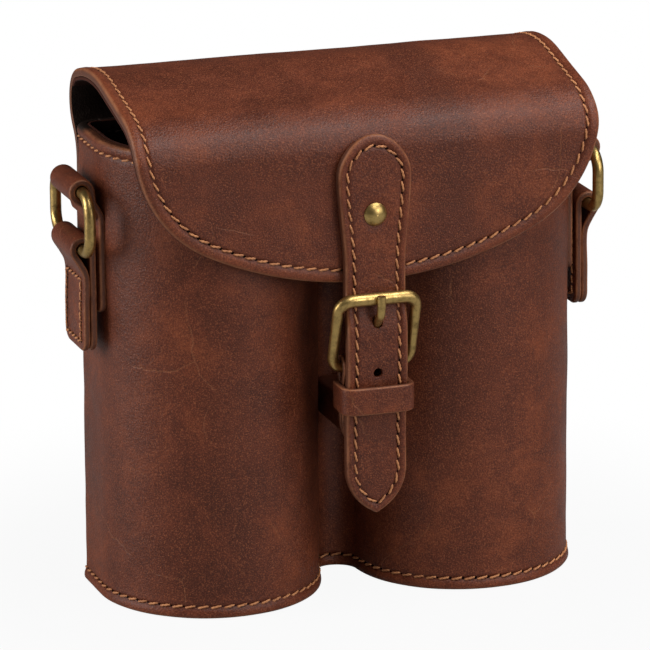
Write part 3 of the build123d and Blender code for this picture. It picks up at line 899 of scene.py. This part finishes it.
@once
def waxed_thread():
    """Waxed linen thread."""
    n = Nodes("Waxed thread")
    shade = n.noise(420.0, 3.0, 0.6)
    colour_ = n.mix(n.span(shade, 0.38, 0.66, 0.0, 0.65), tone("thread"), tone("bevel"))
    normal = n.bump(n.noise(6000.0, 2.0), 0.4, 0.00012)
    return n.finish(Base_Color=colour_, Roughness=0.58, Normal=normal, Specular_IOR_Level=0.35)


@once
def needle_hole_shade():
    """Dark of a needle hole."""
    n = Nodes("Needle hole shade")
    shade = n.noise(2500.0, 2.0)
    deep, shallow = (0.004, 0.0018, 0.001, 1.0), (0.010, 0.004, 0.002, 1.0)
    colour_ = n.mix(n.span(shade, 0.3, 0.7), deep, shallow)
    return n.finish(Base_Color=colour_, Roughness=0.9, Specular_IOR_Level=0.05)


# ---------------------------------------------------------------- pieces
def settle(thing, finish, body, slot, *nodes):
    """Finishes a piece and puts it on its body, in its slot and in place of its CAD nodes."""
    if finish:
        paint(thing, finish())
    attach(thing, body)
    if nodes:
        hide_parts(*nodes)
    return thing


def plan_place(track, way=1):
    """Places on an upright sheet: a is the level, s the way round a plan."""
    def place(a, s, offset):
        return np.stack([*track.at(s, way * offset), a], axis=1)
    return place


def side_place(track, deeper=0.0):
    """Places on a sheet across the case: a is across, s along a side profile."""
    def place(a, s, offset):
        return np.stack([a, *track.at(s, offset - deeper)], axis=1)
    return place


def level_seam(place, level, along, offset):
    """Seam at one value of a, along the given values of s."""
    return seam_line(place, np.full(len(along), level), along, offset)


def foot_flare(a, _s, offset):
    """Spread of the wall's foot, on its outer side."""
    body = sizes()[0]
    return body.flare * (1 - smooth(a, 0.0, 0.007)) * np.clip(1 + offset / body.wall, 0, 1)


def paint_shade_on_back_rim(thing):
    """Gives the rim behind the lid's opening the lining's dark finish."""
    mesh = thing.data
    points = np.empty(len(mesh.vertices) * 3, np.float32)
    marks = np.empty(len(mesh.vertices), np.float32)
    mesh.vertices.foreach_get("co", points)
    layer = mesh.attributes["inner"].data
    layer.foreach_get("value", marks)
    _, y, z = points.reshape(-1, 3).T
    # painted shade on the top edge of the wall at the back
    behind = smooth(z, 0.1525, 0.1540) * smooth(y, 0.016, 0.022)
    layer.foreach_set("value", np.maximum(marks, behind))


class CASE_OT_walls(bpy.types.Operator):
    """Builds the wall round both lobes, the back panel and the base, with their seams"""

    bl_idname = "case.walls"
    bl_label = "Walls"

    def execute(self, context):
        body, seams = context.scene.case_body, context.scene.case_seams
        track = body_track()
        place = plan_place(track)
        flat = body.lobe_offset + body.lobe_radius - body.back_corner

        def back_place(a, s, offset):
            return np.stack([-s, body.back_depth + offset, a], axis=1)

        patch = oblong_patch(0, body.height, 0, track.length, 120, 340)
        wall = leather_sheet("wall_leather", place, patch, body.wall, body.rim_round,
                             seams.body_inset, swell=0.0003, uneven=0.00035, shape=foot_flare,
                             inner_round=INNER_ROUND)
        patch = oblong_patch(0, body.height, -flat, flat, 100, 100)
        back = leather_sheet("back_leather", back_place, patch, body.wall, body.rim_round,
                             seams.body_inset, swell=0.0002, uneven=0.00030,
                             inner_round=INNER_ROUND)
        for sheet, node in ((wall, "front_wall"), (back, "back_panel")):
            paint_shade_on_back_rim(sheet)
            settle(sheet, saddle_leather, "case", "body_leather", node)

        inset, dip = seams.body_inset, -seams.groove
        along = np.arange(inset, track.length - inset, 0.0006)
        rows = []
        for level in (inset, body.height - inset):
            points, normals = level_seam(place, level, along, dip)
            rows.append((points + normals * foot_flare(level, 0, 0.0), normals))
        settle(stitch_row("wall_thread", rows), None, "case", "strap_leather")
        up = np.arange(inset, body.height - inset, 0.001)
        rows = [seam_line(sheet, up, np.full(len(up), s), dip) for sheet, s in (
            (place, inset), (place, track.length - inset),
            (back_place, -flat + inset), (back_place, flat - inset))]
        across = np.arange(-flat + inset, flat - inset, 0.001)
        rows.append(level_seam(back_place, inset, across, dip))
        settle(stitch_row("back_thread", rows), None, "case", "strap_leather")
        paint(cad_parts["base_plate"], saddle_leather())
        return {"FINISHED"}


def settled_mesh(thing):
    """Gives an object the mesh that its modifiers make, and takes them off."""
    mesh = bpy.data.meshes.new_from_object(
        thing.evaluated_get(bpy.context.evaluated_depsgraph_get()))
    thing.modifiers.clear()
    old, thing.data = thing.data, mesh
    bpy.data.meshes.remove(old)
    return mesh


def softened(name, node, voxel, depth, reach=0.006):
    """Copy of a CAD node's mesh with rounded edges and a slightly uneven surface."""
    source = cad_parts[node]
    copy = bpy.data.objects.new(name, source.data.copy())
    bpy.context.collection.objects.link(copy)
    remesh = copy.modifiers.new("Even mesh", "REMESH")
    remesh.mode = "VOXEL"
    remesh.voxel_size = voxel
    relax = copy.modifiers.new("Round edges", "SMOOTH")
    relax.iterations = 3
    mesh = settled_mesh(copy)
    points, normals = np.zeros(3 * len(mesh.vertices)), np.zeros(3 * len(mesh.vertices))
    mesh.vertices.foreach_get("co", points)
    mesh.vertices.foreach_get("normal", normals)
    points, normals = points.reshape(-1, 3), normals.reshape(-1, 3)
    points += normals * ripple(points, reach, depth, 3)[:, None]
    mesh.vertices.foreach_set("co", points.ravel())
    mesh.update()
    mesh.shade_smooth()
    return copy


class CASE_OT_lining(bpy.types.Operator):
    """Builds the lining of the wells, the facing's seam and the felt in the bottom"""

    bl_idname = "case.lining"
    bl_label = "Lining"

    def execute(self, context):
        body = context.scene.case_body
        base = frame_level("base_plate")
        section = soft_rectangle(body.lining, body.height - base, radius=0.0004, rows=70)
        track = body_track(body.wall, whole=True)
        lining = band("well_lining", track, section, base, uneven=0.00012, step=0.0015)
        settle(lining, lining_leather, "case", "lining", "body_lining", "rim_facing")
        inner = body_track(body.wall + body.lining, whole=True)
        level = body.height - context.scene.case_seams.body_inset
        along = np.arange(0, inner.length, 0.001)
        row = level_seam(plan_place(inner, -1), level, along, 0.00005)
        thread = stitch_row("facing_thread", [row])
        thread.data.materials[0] = lining_leather()  # painted shade: the facing's thread inside the well takes the lining's dark finish
        settle(thread, None, "case", "lining")
        pad = softened("felt_pad", "base_pad", voxel=0.0008, depth=0.0002)
        settle(pad, felt, "case", "felt", "base_pad")
        return {"FINISHED"}


def frame_level(node):
    """Level of a CAD node's top."""
    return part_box(node)[1][2]


def lid_patch(track, start, rows=200):
    """Patch of the lid: columns run from the start to the curved front edge."""
    body, lid = sizes()[:2]
    half = body.lobe_offset + body.lobe_radius - lid.inset
    corner_x = half - lid.corner
    drop = sqrt((lid.sweep - lid.corner) ** 2 - corner_x**2)
    centre = lid.bottom + lid.sweep
    meet = atan2(corner_x, drop)
    front = np.argmax(track.points[:, 1])
    levels, runs = track.points[front:, 1][::-1], track.run[front:][::-1]
    turn = np.concatenate([np.linspace(0, meet, 42)[:-1], np.linspace(meet, pi / 2, 36)])

    def patch(inset):
        long, short = lid.sweep - inset, lid.corner - inset
        x = np.where(turn < meet, np.sin(turn) * long, corner_x + np.sin(turn) * short)
        z = np.where(turn < meet, centre - np.cos(turn) * long,
                     centre - drop - np.cos(turn) * short)
        end = np.interp(z, levels, runs)
        x = np.concatenate([-x[::-1], x[1:]])
        end = np.concatenate([end[::-1], end[1:]])
        share = np.linspace(0, 1, rows)[:, None]
        s = start + inset + (end[None, :] - start - inset) * share
        return np.repeat(x[None, :], rows, axis=0), s
    return patch


class CASE_OT_lid(bpy.types.Operator):
    """Builds the lid's leather with its hinge and flap, its lining and its seam"""

    bl_idname = "case.lid"
    bl_label = "Lid"

    def execute(self, context):
        body, lid, _, _, seams = sizes()
        track = lid_track()
        place, under = side_place(track), side_place(track, lid.leather)
        patch = lid_patch(track, 0.0)
        leather = leather_sheet("lid_leather", place, patch, lid.leather, 0.0010, lid.seam_inset,
                                swell=0.00035, uneven=0.00022, inner_round=0.0004)
        paint(leather, saddle_leather())
        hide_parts("lid_shell", "hinge_flap")
        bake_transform(leather)

        up = np.nonzero(track.points[:, 1] > body.height + HINGE_SPLIT)[0][0]
        inner_patch = lid_patch(track, track.run[up] + 0.0006, 150)
        lining = leather_sheet("lid_lining_leather", under, inner_patch, lid.lining,
                               rounding=0.0005, uneven=0.0001)
        settle(lining, lining_leather, "lid", "lining", "lid_lining")

        def edge_line(grid, skipped):
            a, s = grid(lid.seam_inset)
            ring = border(np.arange(a.size).reshape(a.shape))[skipped * a.shape[1]:]
            return a.ravel()[ring], s.ravel()[ring]

        a, s = edge_line(patch, 0)
        points, normals = seam_line(place, np.append(a, a[0]), np.append(s, s[0]), -seams.groove)
        thread = stitch_row("lid_thread", [(points, normals)], closed=True)
        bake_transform(thread)

        points, normals = seam_line(under, *edge_line(inner_patch, 1), -lid.lining)
        inner = stitch_row("lid_lining_thread", [(points, -normals)], rise=0.0002)
        settle(inner, None, "lid", "lining")
        return {"FINISHED"}


def elevation_outline():
    """Right side of the closing strap's outline from the front, and its outward normals."""
    strap = sizes()[2]
    head, half = strap.head_width / 2, strap.width / 2
    parts = [arc((0, strap.top - head), head, 90, 0, 0.0009)]
    z = np.arange(strap.top - head, strap.neck, -0.0010)[1:]
    share = smooth(-z, -(strap.top - head), -strap.neck)
    parts.append(np.stack([head + (half - head) * share, z], axis=1))
    shoulder = strap.tip + TIP_LENGTH
    z = np.arange(strap.neck, shoulder, -0.0010)
    parts.append(np.stack([np.full(len(z), half), z], axis=1))
    drop = TIP_LENGTH - TIP_ROUND / 2
    centre = (drop**2 + TIP_ROUND**2 - half**2) / (2 * (TIP_ROUND - half))
    radius = half - centre
    parts.append(arc((centre, shoulder), radius, 0, -np.degrees(np.arcsin(drop / radius)), 0.0009))
    x, z = parts[-1][-1]
    left = 1 - np.linspace(0, 1, 8)[1:]
    parts.append(np.stack([x * left, z + (strap.tip - z) * (1 - left**2)], axis=1))
    points = distinct(np.vstack(parts), NEAR)
    normals = line_normals(points)
    normals[0], normals[-1] = (0.0, 1.0), (0.0, -1.0)
    return points, normals


def strap_place(track, thickness):
    """Places on the strap's front face: a is across, s the level."""
    levels, runs = track.points[::-1, 1], track.run[::-1]

    def place(a, s, offset):
        y, z = track.at(np.interp(s, levels, runs), thickness + offset)
        return np.stack([a, y, z], axis=1)
    return place


def bore(thing, start, end, radius):
    """Cuts a round hole through a piece, from start to end in lobe coordinates."""
    cutter = rod(thing.name + "_cutter", [start, end], radius, 28)
    cut = thing.modifiers.new("Hole", "BOOLEAN")
    cut.operation = "DIFFERENCE"
    cut.object = cutter
    cut.solver = "EXACT"
    settled_mesh(thing).shade_smooth()
    bpy.data.objects.remove(cutter)


class CASE_OT_closing_strap(bpy.types.Operator):
    """Builds the closing strap with its holes, rivet and seam"""

    bl_idname = "case.closing_strap"
    bl_label = "Closing strap"

    def execute(self, context):
        strap, seams = context.scene.case_strap, context.scene.case_seams
        track = strap_track()
        place = strap_place(track, strap.thickness)
        outline = elevation_outline()

        def seat(a, s, offset):
            """Leather pressed in round the rivet and the prong holes, on the front face."""
            away = np.hypot(a, s - RIVET_LEVEL)
            dent = -0.00035 * (1 - smooth(away, 0.0030, 0.0062))
            for level in (SPARE_HOLE, PRONG_DENT):
                away = np.hypot(a, s - level)
                dent = dent - 0.00025 * (1 - smooth(away, 0.0014, 0.0034))
            return dent * np.clip(1 + offset / 0.001, 0, 1)

        leather = leather_sheet("strap_leather", place, outline_patch(outline, 34),
                                strap.thickness, 0.0010, strap.seam_inset, swell=0.00022,
                                shape=seat, lined=False)
        face = lid_faces()[0] - strap.bow
        bore(leather, (0, face + 0.004, SPARE_HOLE), (0, face - 0.01, SPARE_HOLE),
             SPARE_HOLE_RADIUS)
        bore(leather, *((0, face + away, level) for away, level in PRONG_HOLE), PRONG_HOLE_RADIUS)
        settle(leather, saddle_leather, "lid", "strap_leather", "closing_strap")
        a, s = outline_patch(outline, 3)(strap.seam_inset)
        right = distinct(np.stack([a[:, -1], s[:, -1]], axis=1), NEAR)
        loop = np.vstack([right, (right * (-1, 1))[::-1][1:]])
        row = seam_line(place, *loop.T, -seams.groove)
        thread = stitch_row("strap_thread", [row], closed=True)
        settle(thread, None, "lid", "strap_leather")
        for node in ("strap_rivet_cap", "strap_rivet_burr"):
            paint(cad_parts[node], antique_brass())
        return {"FINISHED"}


def bar_places():
    """Places of the buckle's two bars behind the lobe line, and the radius of the chape's fold."""
    strap = sizes()[2]
    face = lid_faces()[0]
    fold = BAR + BAR_ROOM + CHAPE_LEATHER
    return face - strap.bow + ROOM + fold, face - strap.thickness - ROOM - BAR, fold


class CASE_OT_keeper(bpy.types.Operator):
    """Builds the keeper loop, the chape and the packing behind it"""

    bl_idname = "case.keeper"
    bl_label = "Keeper and chape"

    def execute(self, context):
        strap = context.scene.case_strap
        hinge, _, fold = bar_places()
        front = lid_faces()[0] - strap.bow - strap.thickness - ROOM - KEEPER_LEATHER
        back, half = hinge + CHAPE_LEATHER + KEEPER_LEATHER, KEEPER_WIDTH / 2
        corners = [(0, back), (-half, back), (-half, front), (half, front), (half, back), (0, back)]
        line = rounded_line(corners, [KEEPER_CORNER] * 4)
        x, y = line.T
        line[:, 1] -= 0.0007 * (1 - (x / half) ** 2) * (1 - smooth(y, front, front + 0.003))
        section = soft_rectangle(KEEPER_LEATHER, strap.keeper_height, radius=0.0007)
        loop = band("keeper_leather", Track(line, closed=True), section, strap.keeper_level,
                    uneven=0.0002)
        settle(loop, saddle_leather, "case", "strap_leather", "keeper_loop")

        track = fold_track((hinge, HINGE_BAR), fold, CHAPE_LEATHER, CHAPE_SPREAD,
                           strap.chape_bottom)
        outline = strip_outline(CHAPE_HALF, track.length, CHAPE_HALF - 0.0002)
        tongue = leather_sheet("chape_leather", side_place(track), outline_patch(outline, 26),
                               CHAPE_LEATHER - 0.00005, rounding=0.0007, uneven=0.00008,
                               lined=False)
        bore(tongue, (-SLOT_HALF, hinge, HINGE_BAR), (SLOT_HALF, hinge, HINGE_BAR),
             fold + SLOT_ROOM)
        settle(tongue, saddle_leather, "case", "strap_leather", "chape")
        packing = softened("chape_packing", "chape_block", voxel=0.0006, depth=0.0001)
        settle(packing, saddle_leather, "case", "body_leather", "chape_block")
        paint(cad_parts["chape_rivets"], antique_brass())
        return {"FINISHED"}


class CASE_OT_buckle(bpy.types.Operator):
    """Builds the buckle's frame and finishes its prong"""

    bl_idname = "case.buckle"
    bl_label = "Buckle"

    def execute(self, context):
        hardware = context.scene.case_hardware
        thin, thick = hardware.buckle_wire, hardware.buckle_front_wire
        hinge, front, _ = bar_places()
        lean = np.array([0, front - hinge, BUCKLE_BAR - HINGE_BAR])
        reach = np.linalg.norm(lean)
        lean /= reach
        corners = [(0, 0), (BUCKLE_HALF, 0), (BUCKLE_HALF, reach), (-BUCKLE_HALF, reach),
                   (-BUCKLE_HALF, 0), (0, 0)]
        line = distinct(rounded_line(corners, [BUCKLE_CORNER] * 4), NEAR)[:-1][::2]
        across, up = line.T
        top = smooth(up, reach - 0.0042, reach - 0.0004)
        outward = np.cross([1, 0, 0], lean)
        outward = outward if outward[1] < 0 else -outward
        path = np.stack([across, np.full(len(line), hinge), np.full(len(line), HINGE_BAR)], axis=1)
        path += up[:, None] * lean + (0.00028 * top)[:, None] * outward
        buckle = rod("buckle_bars", path, thin / 2 + (thick - thin) / 2 * top, 24, closed=True)
        settle(buckle, antique_brass, "buckle", "brass", "buckle_frame")
        paint(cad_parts["buckle_prong"], antique_brass())
        return {"FINISHED"}


def anchor_track():
    """Profile of an anchor strap: tongue, fold over the ring's upper bar, leg on the wall."""
    hardware = sizes()[3]
    leather, centre = hardware.side_leather, (hardware.ring_standoff, hardware.ring_level)
    fold = RING_EYE + leather
    bottom, level = hardware.anchor_bottom, hardware.ring_level
    tongue = [(2 * leather - 0.0001, level - 0.0100), (2 * leather, level - 0.0080),
              (2 * leather + 0.0009, level - 0.0060)]
    fall = [(0.0019, level - 0.0034), (0.0007, level - 0.0063), (0.0001, level - 0.0088),
            (0.0, level - 0.0115), (0.0, (level + bottom) / 2), (0.0, bottom)]
    turn = [tuple(p) for p in arc(centre, fold, -62, 178)[::6]]
    return Track(flowing_line(tongue + turn + fall, 14))


class CASE_OT_side_straps(bpy.types.Operator):
    """Builds the anchor straps, the hanging tabs with their box stitching, and the rivets"""

    bl_idname = "case.side_straps"
    bl_label = "Side straps"

    def execute(self, context):
        body, hardware = context.scene.case_body, context.scene.case_hardware
        leather, half = hardware.side_leather, hardware.side_width / 2
        fold = RING_EYE + leather
        wall = body.lobe_offset + body.lobe_radius
        low_bar = hardware.ring_level - hardware.ring_height
        tab_line = fold_track((hardware.ring_standoff, low_bar), fold, leather, TAB_SPREAD,
                              hardware.tab_bottom, leather - fold)
        anchor_line, edge = anchor_track(), half - BOX_INSET
        for side, hand in ((-1, "left"), (1, "right")):
            def tab_place(a, s, offset):
                out, level = tab_line.at(s, offset)
                return np.stack([side * (wall + out), RING_Y + a, level], axis=1)

            def anchor_place(a, s, offset):
                out, level = anchor_line.at(s, offset)
                y = RING_Y + a
                hollow = body.lobe_radius - np.sqrt(body.lobe_radius**2 - np.minimum(y, 0) ** 2)
                drop = hardware.ring_level - level
                low = 1 - smooth(-drop, -0.0095, -0.003)
                return np.stack([side * (wall + out - hollow * low), y, level], axis=1)

            outline = strip_outline(half, tab_line.length, 0.005)
            tab = leather_sheet(f"{hand}_tab_leather", tab_place, outline_patch(outline, 26),
                                leather - 0.00006, rounding=0.0008, uneven=0.00012,
                                lined=False)
            settle(tab, saddle_leather, f"{hand}_tab", "strap_leather", f"{hand}_strap_tab")
            share = np.linspace(0, 4, 121)
            across = np.interp(share, range(5), edge * np.array([-1, 1, 1, -1, -1]))
            along = np.interp(share, range(5), (BOX_INSET, BOX_INSET, BOX_TOP, BOX_TOP, BOX_INSET))
            rows = [seam_line(tab_place, across, along, 0.00005),
                    seam_line(tab_place, across, tab_line.length - along, -0.0002)]
            thread = stitch_row(f"{hand}_tab_thread", rows, TAB_PITCH, closed=True)
            settle(thread, None, f"{hand}_tab", "strap_leather")

            outline = strip_outline(half, anchor_line.length, 0.003)
            anchor = leather_sheet(f"{hand}_anchor_leather", anchor_place,
                                   outline_patch(outline, 26), leather - 0.00006,
                                   rounding=0.0008, uneven=0.0001, lined=False)
            settle(anchor, saddle_leather, "case", "strap_leather", f"{hand}_anchor_strap")
            paint(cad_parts[f"{hand}_anchor_rivets"], antique_brass())
            paint(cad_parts[f"{hand}_ring"], antique_brass())
        return {"FINISHED"}


AMBIENT = 0.14  # the world's light on the object
MIRRORED = 0.045  # what gloss and metal see of the white surroundings
FLOOR_SIDE = 6.0  # half the floor's width
MIDDLE = (0.0, 0.0, 0.09)  # what the lamps are aimed at
CAMERA_AIM, CAMERA_AWAY, CAMERA_LENS = (-0.0024, 0.0845), 1.783, 301.2  # aim's x and z
CAMERA_TURN, CAMERA_RISE, CAMERA_ROLL = radians(-18.5), radians(15.66), radians(0.43)
# Name, turn from the front (+ right) and rise in degrees, distance, size, level at the object
LAMPS = (
    ("left", -98.0, 18.0, 1.1, (0.45, 0.8), 0.69),
    ("front", 24.0, 24.0, 1.2, (0.35, 0.6), 0.26),
    ("right", 50.0, 24.0, 1.2, (0.5, 0.8), 0.15),
    ("top", 46.0, 66.0, 0.95, (1.1, 0.24), 0.76),
)


def outwards(turn, rise):
    """Way from the case to a lamp or the camera."""
    return Vector((sin(turn) * cos(rise), -cos(turn) * cos(rise), sin(rise)))


def soft_lamp(name, turn, rise, away, size, level):
    """Rectangular lamp aimed at the case."""
    place = Vector(MIDDLE) + away * outwards(radians(turn), radians(rise))
    light = bpy.data.lights.new(name, "AREA")
    light.shape = "RECTANGLE"
    light.size, light.size_y = size
    light.energy = level * pi**2 * away**2
    lamp = bpy.data.objects.new(name, light)
    bpy.context.collection.objects.link(lamp)
    lamp.location = place
    lamp.rotation_euler = (place - Vector(MIDDLE)).to_track_quat("Z", "Y").to_euler()


class CASE_OT_stage(bpy.types.Operator):
    """Sets the floor, the lights, the world and the camera"""

    bl_idname = "case.stage"
    bl_label = "Stage"

    def execute(self, context):
        scene = context.scene
        scene.view_settings.view_transform = "Standard"
        floor = bpy.data.meshes.new("floor")
        corners = ((-1, -1), (1, -1), (1, 1), (-1, 1))
        floor.from_pydata([(x * FLOOR_SIDE, y * FLOOR_SIDE, 0) for x, y in corners],
                          [], [(0, 1, 2, 3)])
        ground = bpy.data.objects.new("floor", floor)
        context.collection.objects.link(ground)
        n = Nodes("Floor")
        n.finish(Base_Color=(0.40, 0.40, 0.40, 1.0), Roughness=0.9, Specular_IOR_Level=0.0)
        path = n.add("ShaderNodeLightPath")
        seen = n.sum(path.outputs["Is Camera Ray"], path.outputs["Is Transmission Ray"], "MAXIMUM")
        glow = n.add("ShaderNodeEmission", Color=(1, 1, 1, 1), Strength=1.0)
        away = n.add("ShaderNodeVectorMath", operation="LENGTH", Vector=n.coords)
        white = n.span(away.outputs["Value"], 0.10, 0.22, 0.93, 1.0)
        blend = n.add("ShaderNodeMixShader")
        for socket, value in zip(blend.inputs, (n.times(seen, white), n.shader.outputs[0],
                                                glow.outputs[0])):
            n.put(value, socket)
        n.put(blend.outputs[0], n.tree.nodes["Material Output"].inputs["Surface"])
        floor.materials.append(n.material)

        scene.world = bpy.data.worlds.new("Studio")
        n = Nodes("Studio", scene.world)
        path, strength = n.add("ShaderNodeLightPath"), None
        for ray, value in (("Is Camera Ray", 1.0), ("Is Transmission Ray", 1.0),
                           ("Is Glossy Ray", MIRRORED), ("Is Diffuse Ray", AMBIENT)):
            part = n.times(path.outputs[ray], value)
            strength = n.sum(strength, part, "MAXIMUM") if strength else part
        background = n.tree.nodes["Background"]
        background.inputs["Color"].default_value = (1, 1, 1, 1)
        n.put(strength, background.inputs["Strength"])

        for lamp in LAMPS:
            soft_lamp(*lamp)

        camera = bpy.data.cameras.new("Camera")
        camera.sensor_width = 36.0
        camera.lens = CAMERA_LENS
        camera.clip_start, camera.clip_end = 0.05, 30.0
        seat = bpy.data.objects.new("Camera", camera)
        context.collection.objects.link(seat)
        back_axis = outwards(CAMERA_TURN, CAMERA_RISE)
        right = Vector((cos(CAMERA_TURN), sin(CAMERA_TURN), 0))
        up = back_axis.cross(right)
        c, d = cos(CAMERA_ROLL), sin(CAMERA_ROLL)
        right, up = right * c - up * d, right * d + up * c
        matrix = Matrix((right, up, back_axis)).transposed().to_4x4()
        matrix.translation = (Vector((CAMERA_AIM[0], lobe_line(), CAMERA_AIM[1]))
                              + back_axis * CAMERA_AWAY)
        seat.matrix_world = matrix
        scene.camera = seat
        return {"FINISHED"}


class CASE_PT_sidebar(bpy.types.Panel):
    """Lists the steps that build the case"""

    bl_label = "Binocular case"
    bl_idname = "CASE_PT_sidebar"
    bl_space_type = "VIEW_3D"
    bl_region_type = "UI"
    bl_category = "Case"

    def draw(self, context):
        for step in STEPS:
            self.layout.operator(step.bl_idname)
        for name in GROUPS:
            group = getattr(context.scene, name)
            for key in group.bl_rna.properties.keys():
                if key not in ("rna_type", "name"):
                    self.layout.prop(group, key)


STEPS = (CASE_OT_stage, CASE_OT_walls, CASE_OT_lining, CASE_OT_lid, CASE_OT_closing_strap,
         CASE_OT_keeper, CASE_OT_buckle, CASE_OT_side_straps)
GROUPS = {"case_body": BodySizes, "case_lid": LidSizes, "case_strap": StrapSizes,
          "case_hardware": HardwareSizes, "case_seams": SeamSizes, "case_finishes": Finishes}


def register():
    """Registers the size groups, the steps and the panel."""
    for name, group in GROUPS.items():
        bpy.utils.register_class(group)
        setattr(bpy.types.Scene, name, PointerProperty(type=group))
    for step in STEPS + (CASE_PT_sidebar,):
        bpy.utils.register_class(step)


def unregister():
    """Takes the panel, the steps and the size groups away again."""
    for step in (CASE_PT_sidebar,) + STEPS[::-1]:
        bpy.utils.unregister_class(step)
    for name, group in reversed(GROUPS.items()):
        delattr(bpy.types.Scene, name)
        bpy.utils.unregister_class(group)


def main():
    """Builds the whole scene and writes its size."""
    register()
    bpy.ops.case.stage()
    bpy.ops.case.walls()
    bpy.ops.case.lining()
    bpy.ops.case.lid()
    bpy.ops.case.closing_strap()
    bpy.ops.case.keeper()
    bpy.ops.case.buckle()
    bpy.ops.case.side_straps()


if __name__ == "__main__":
    main()
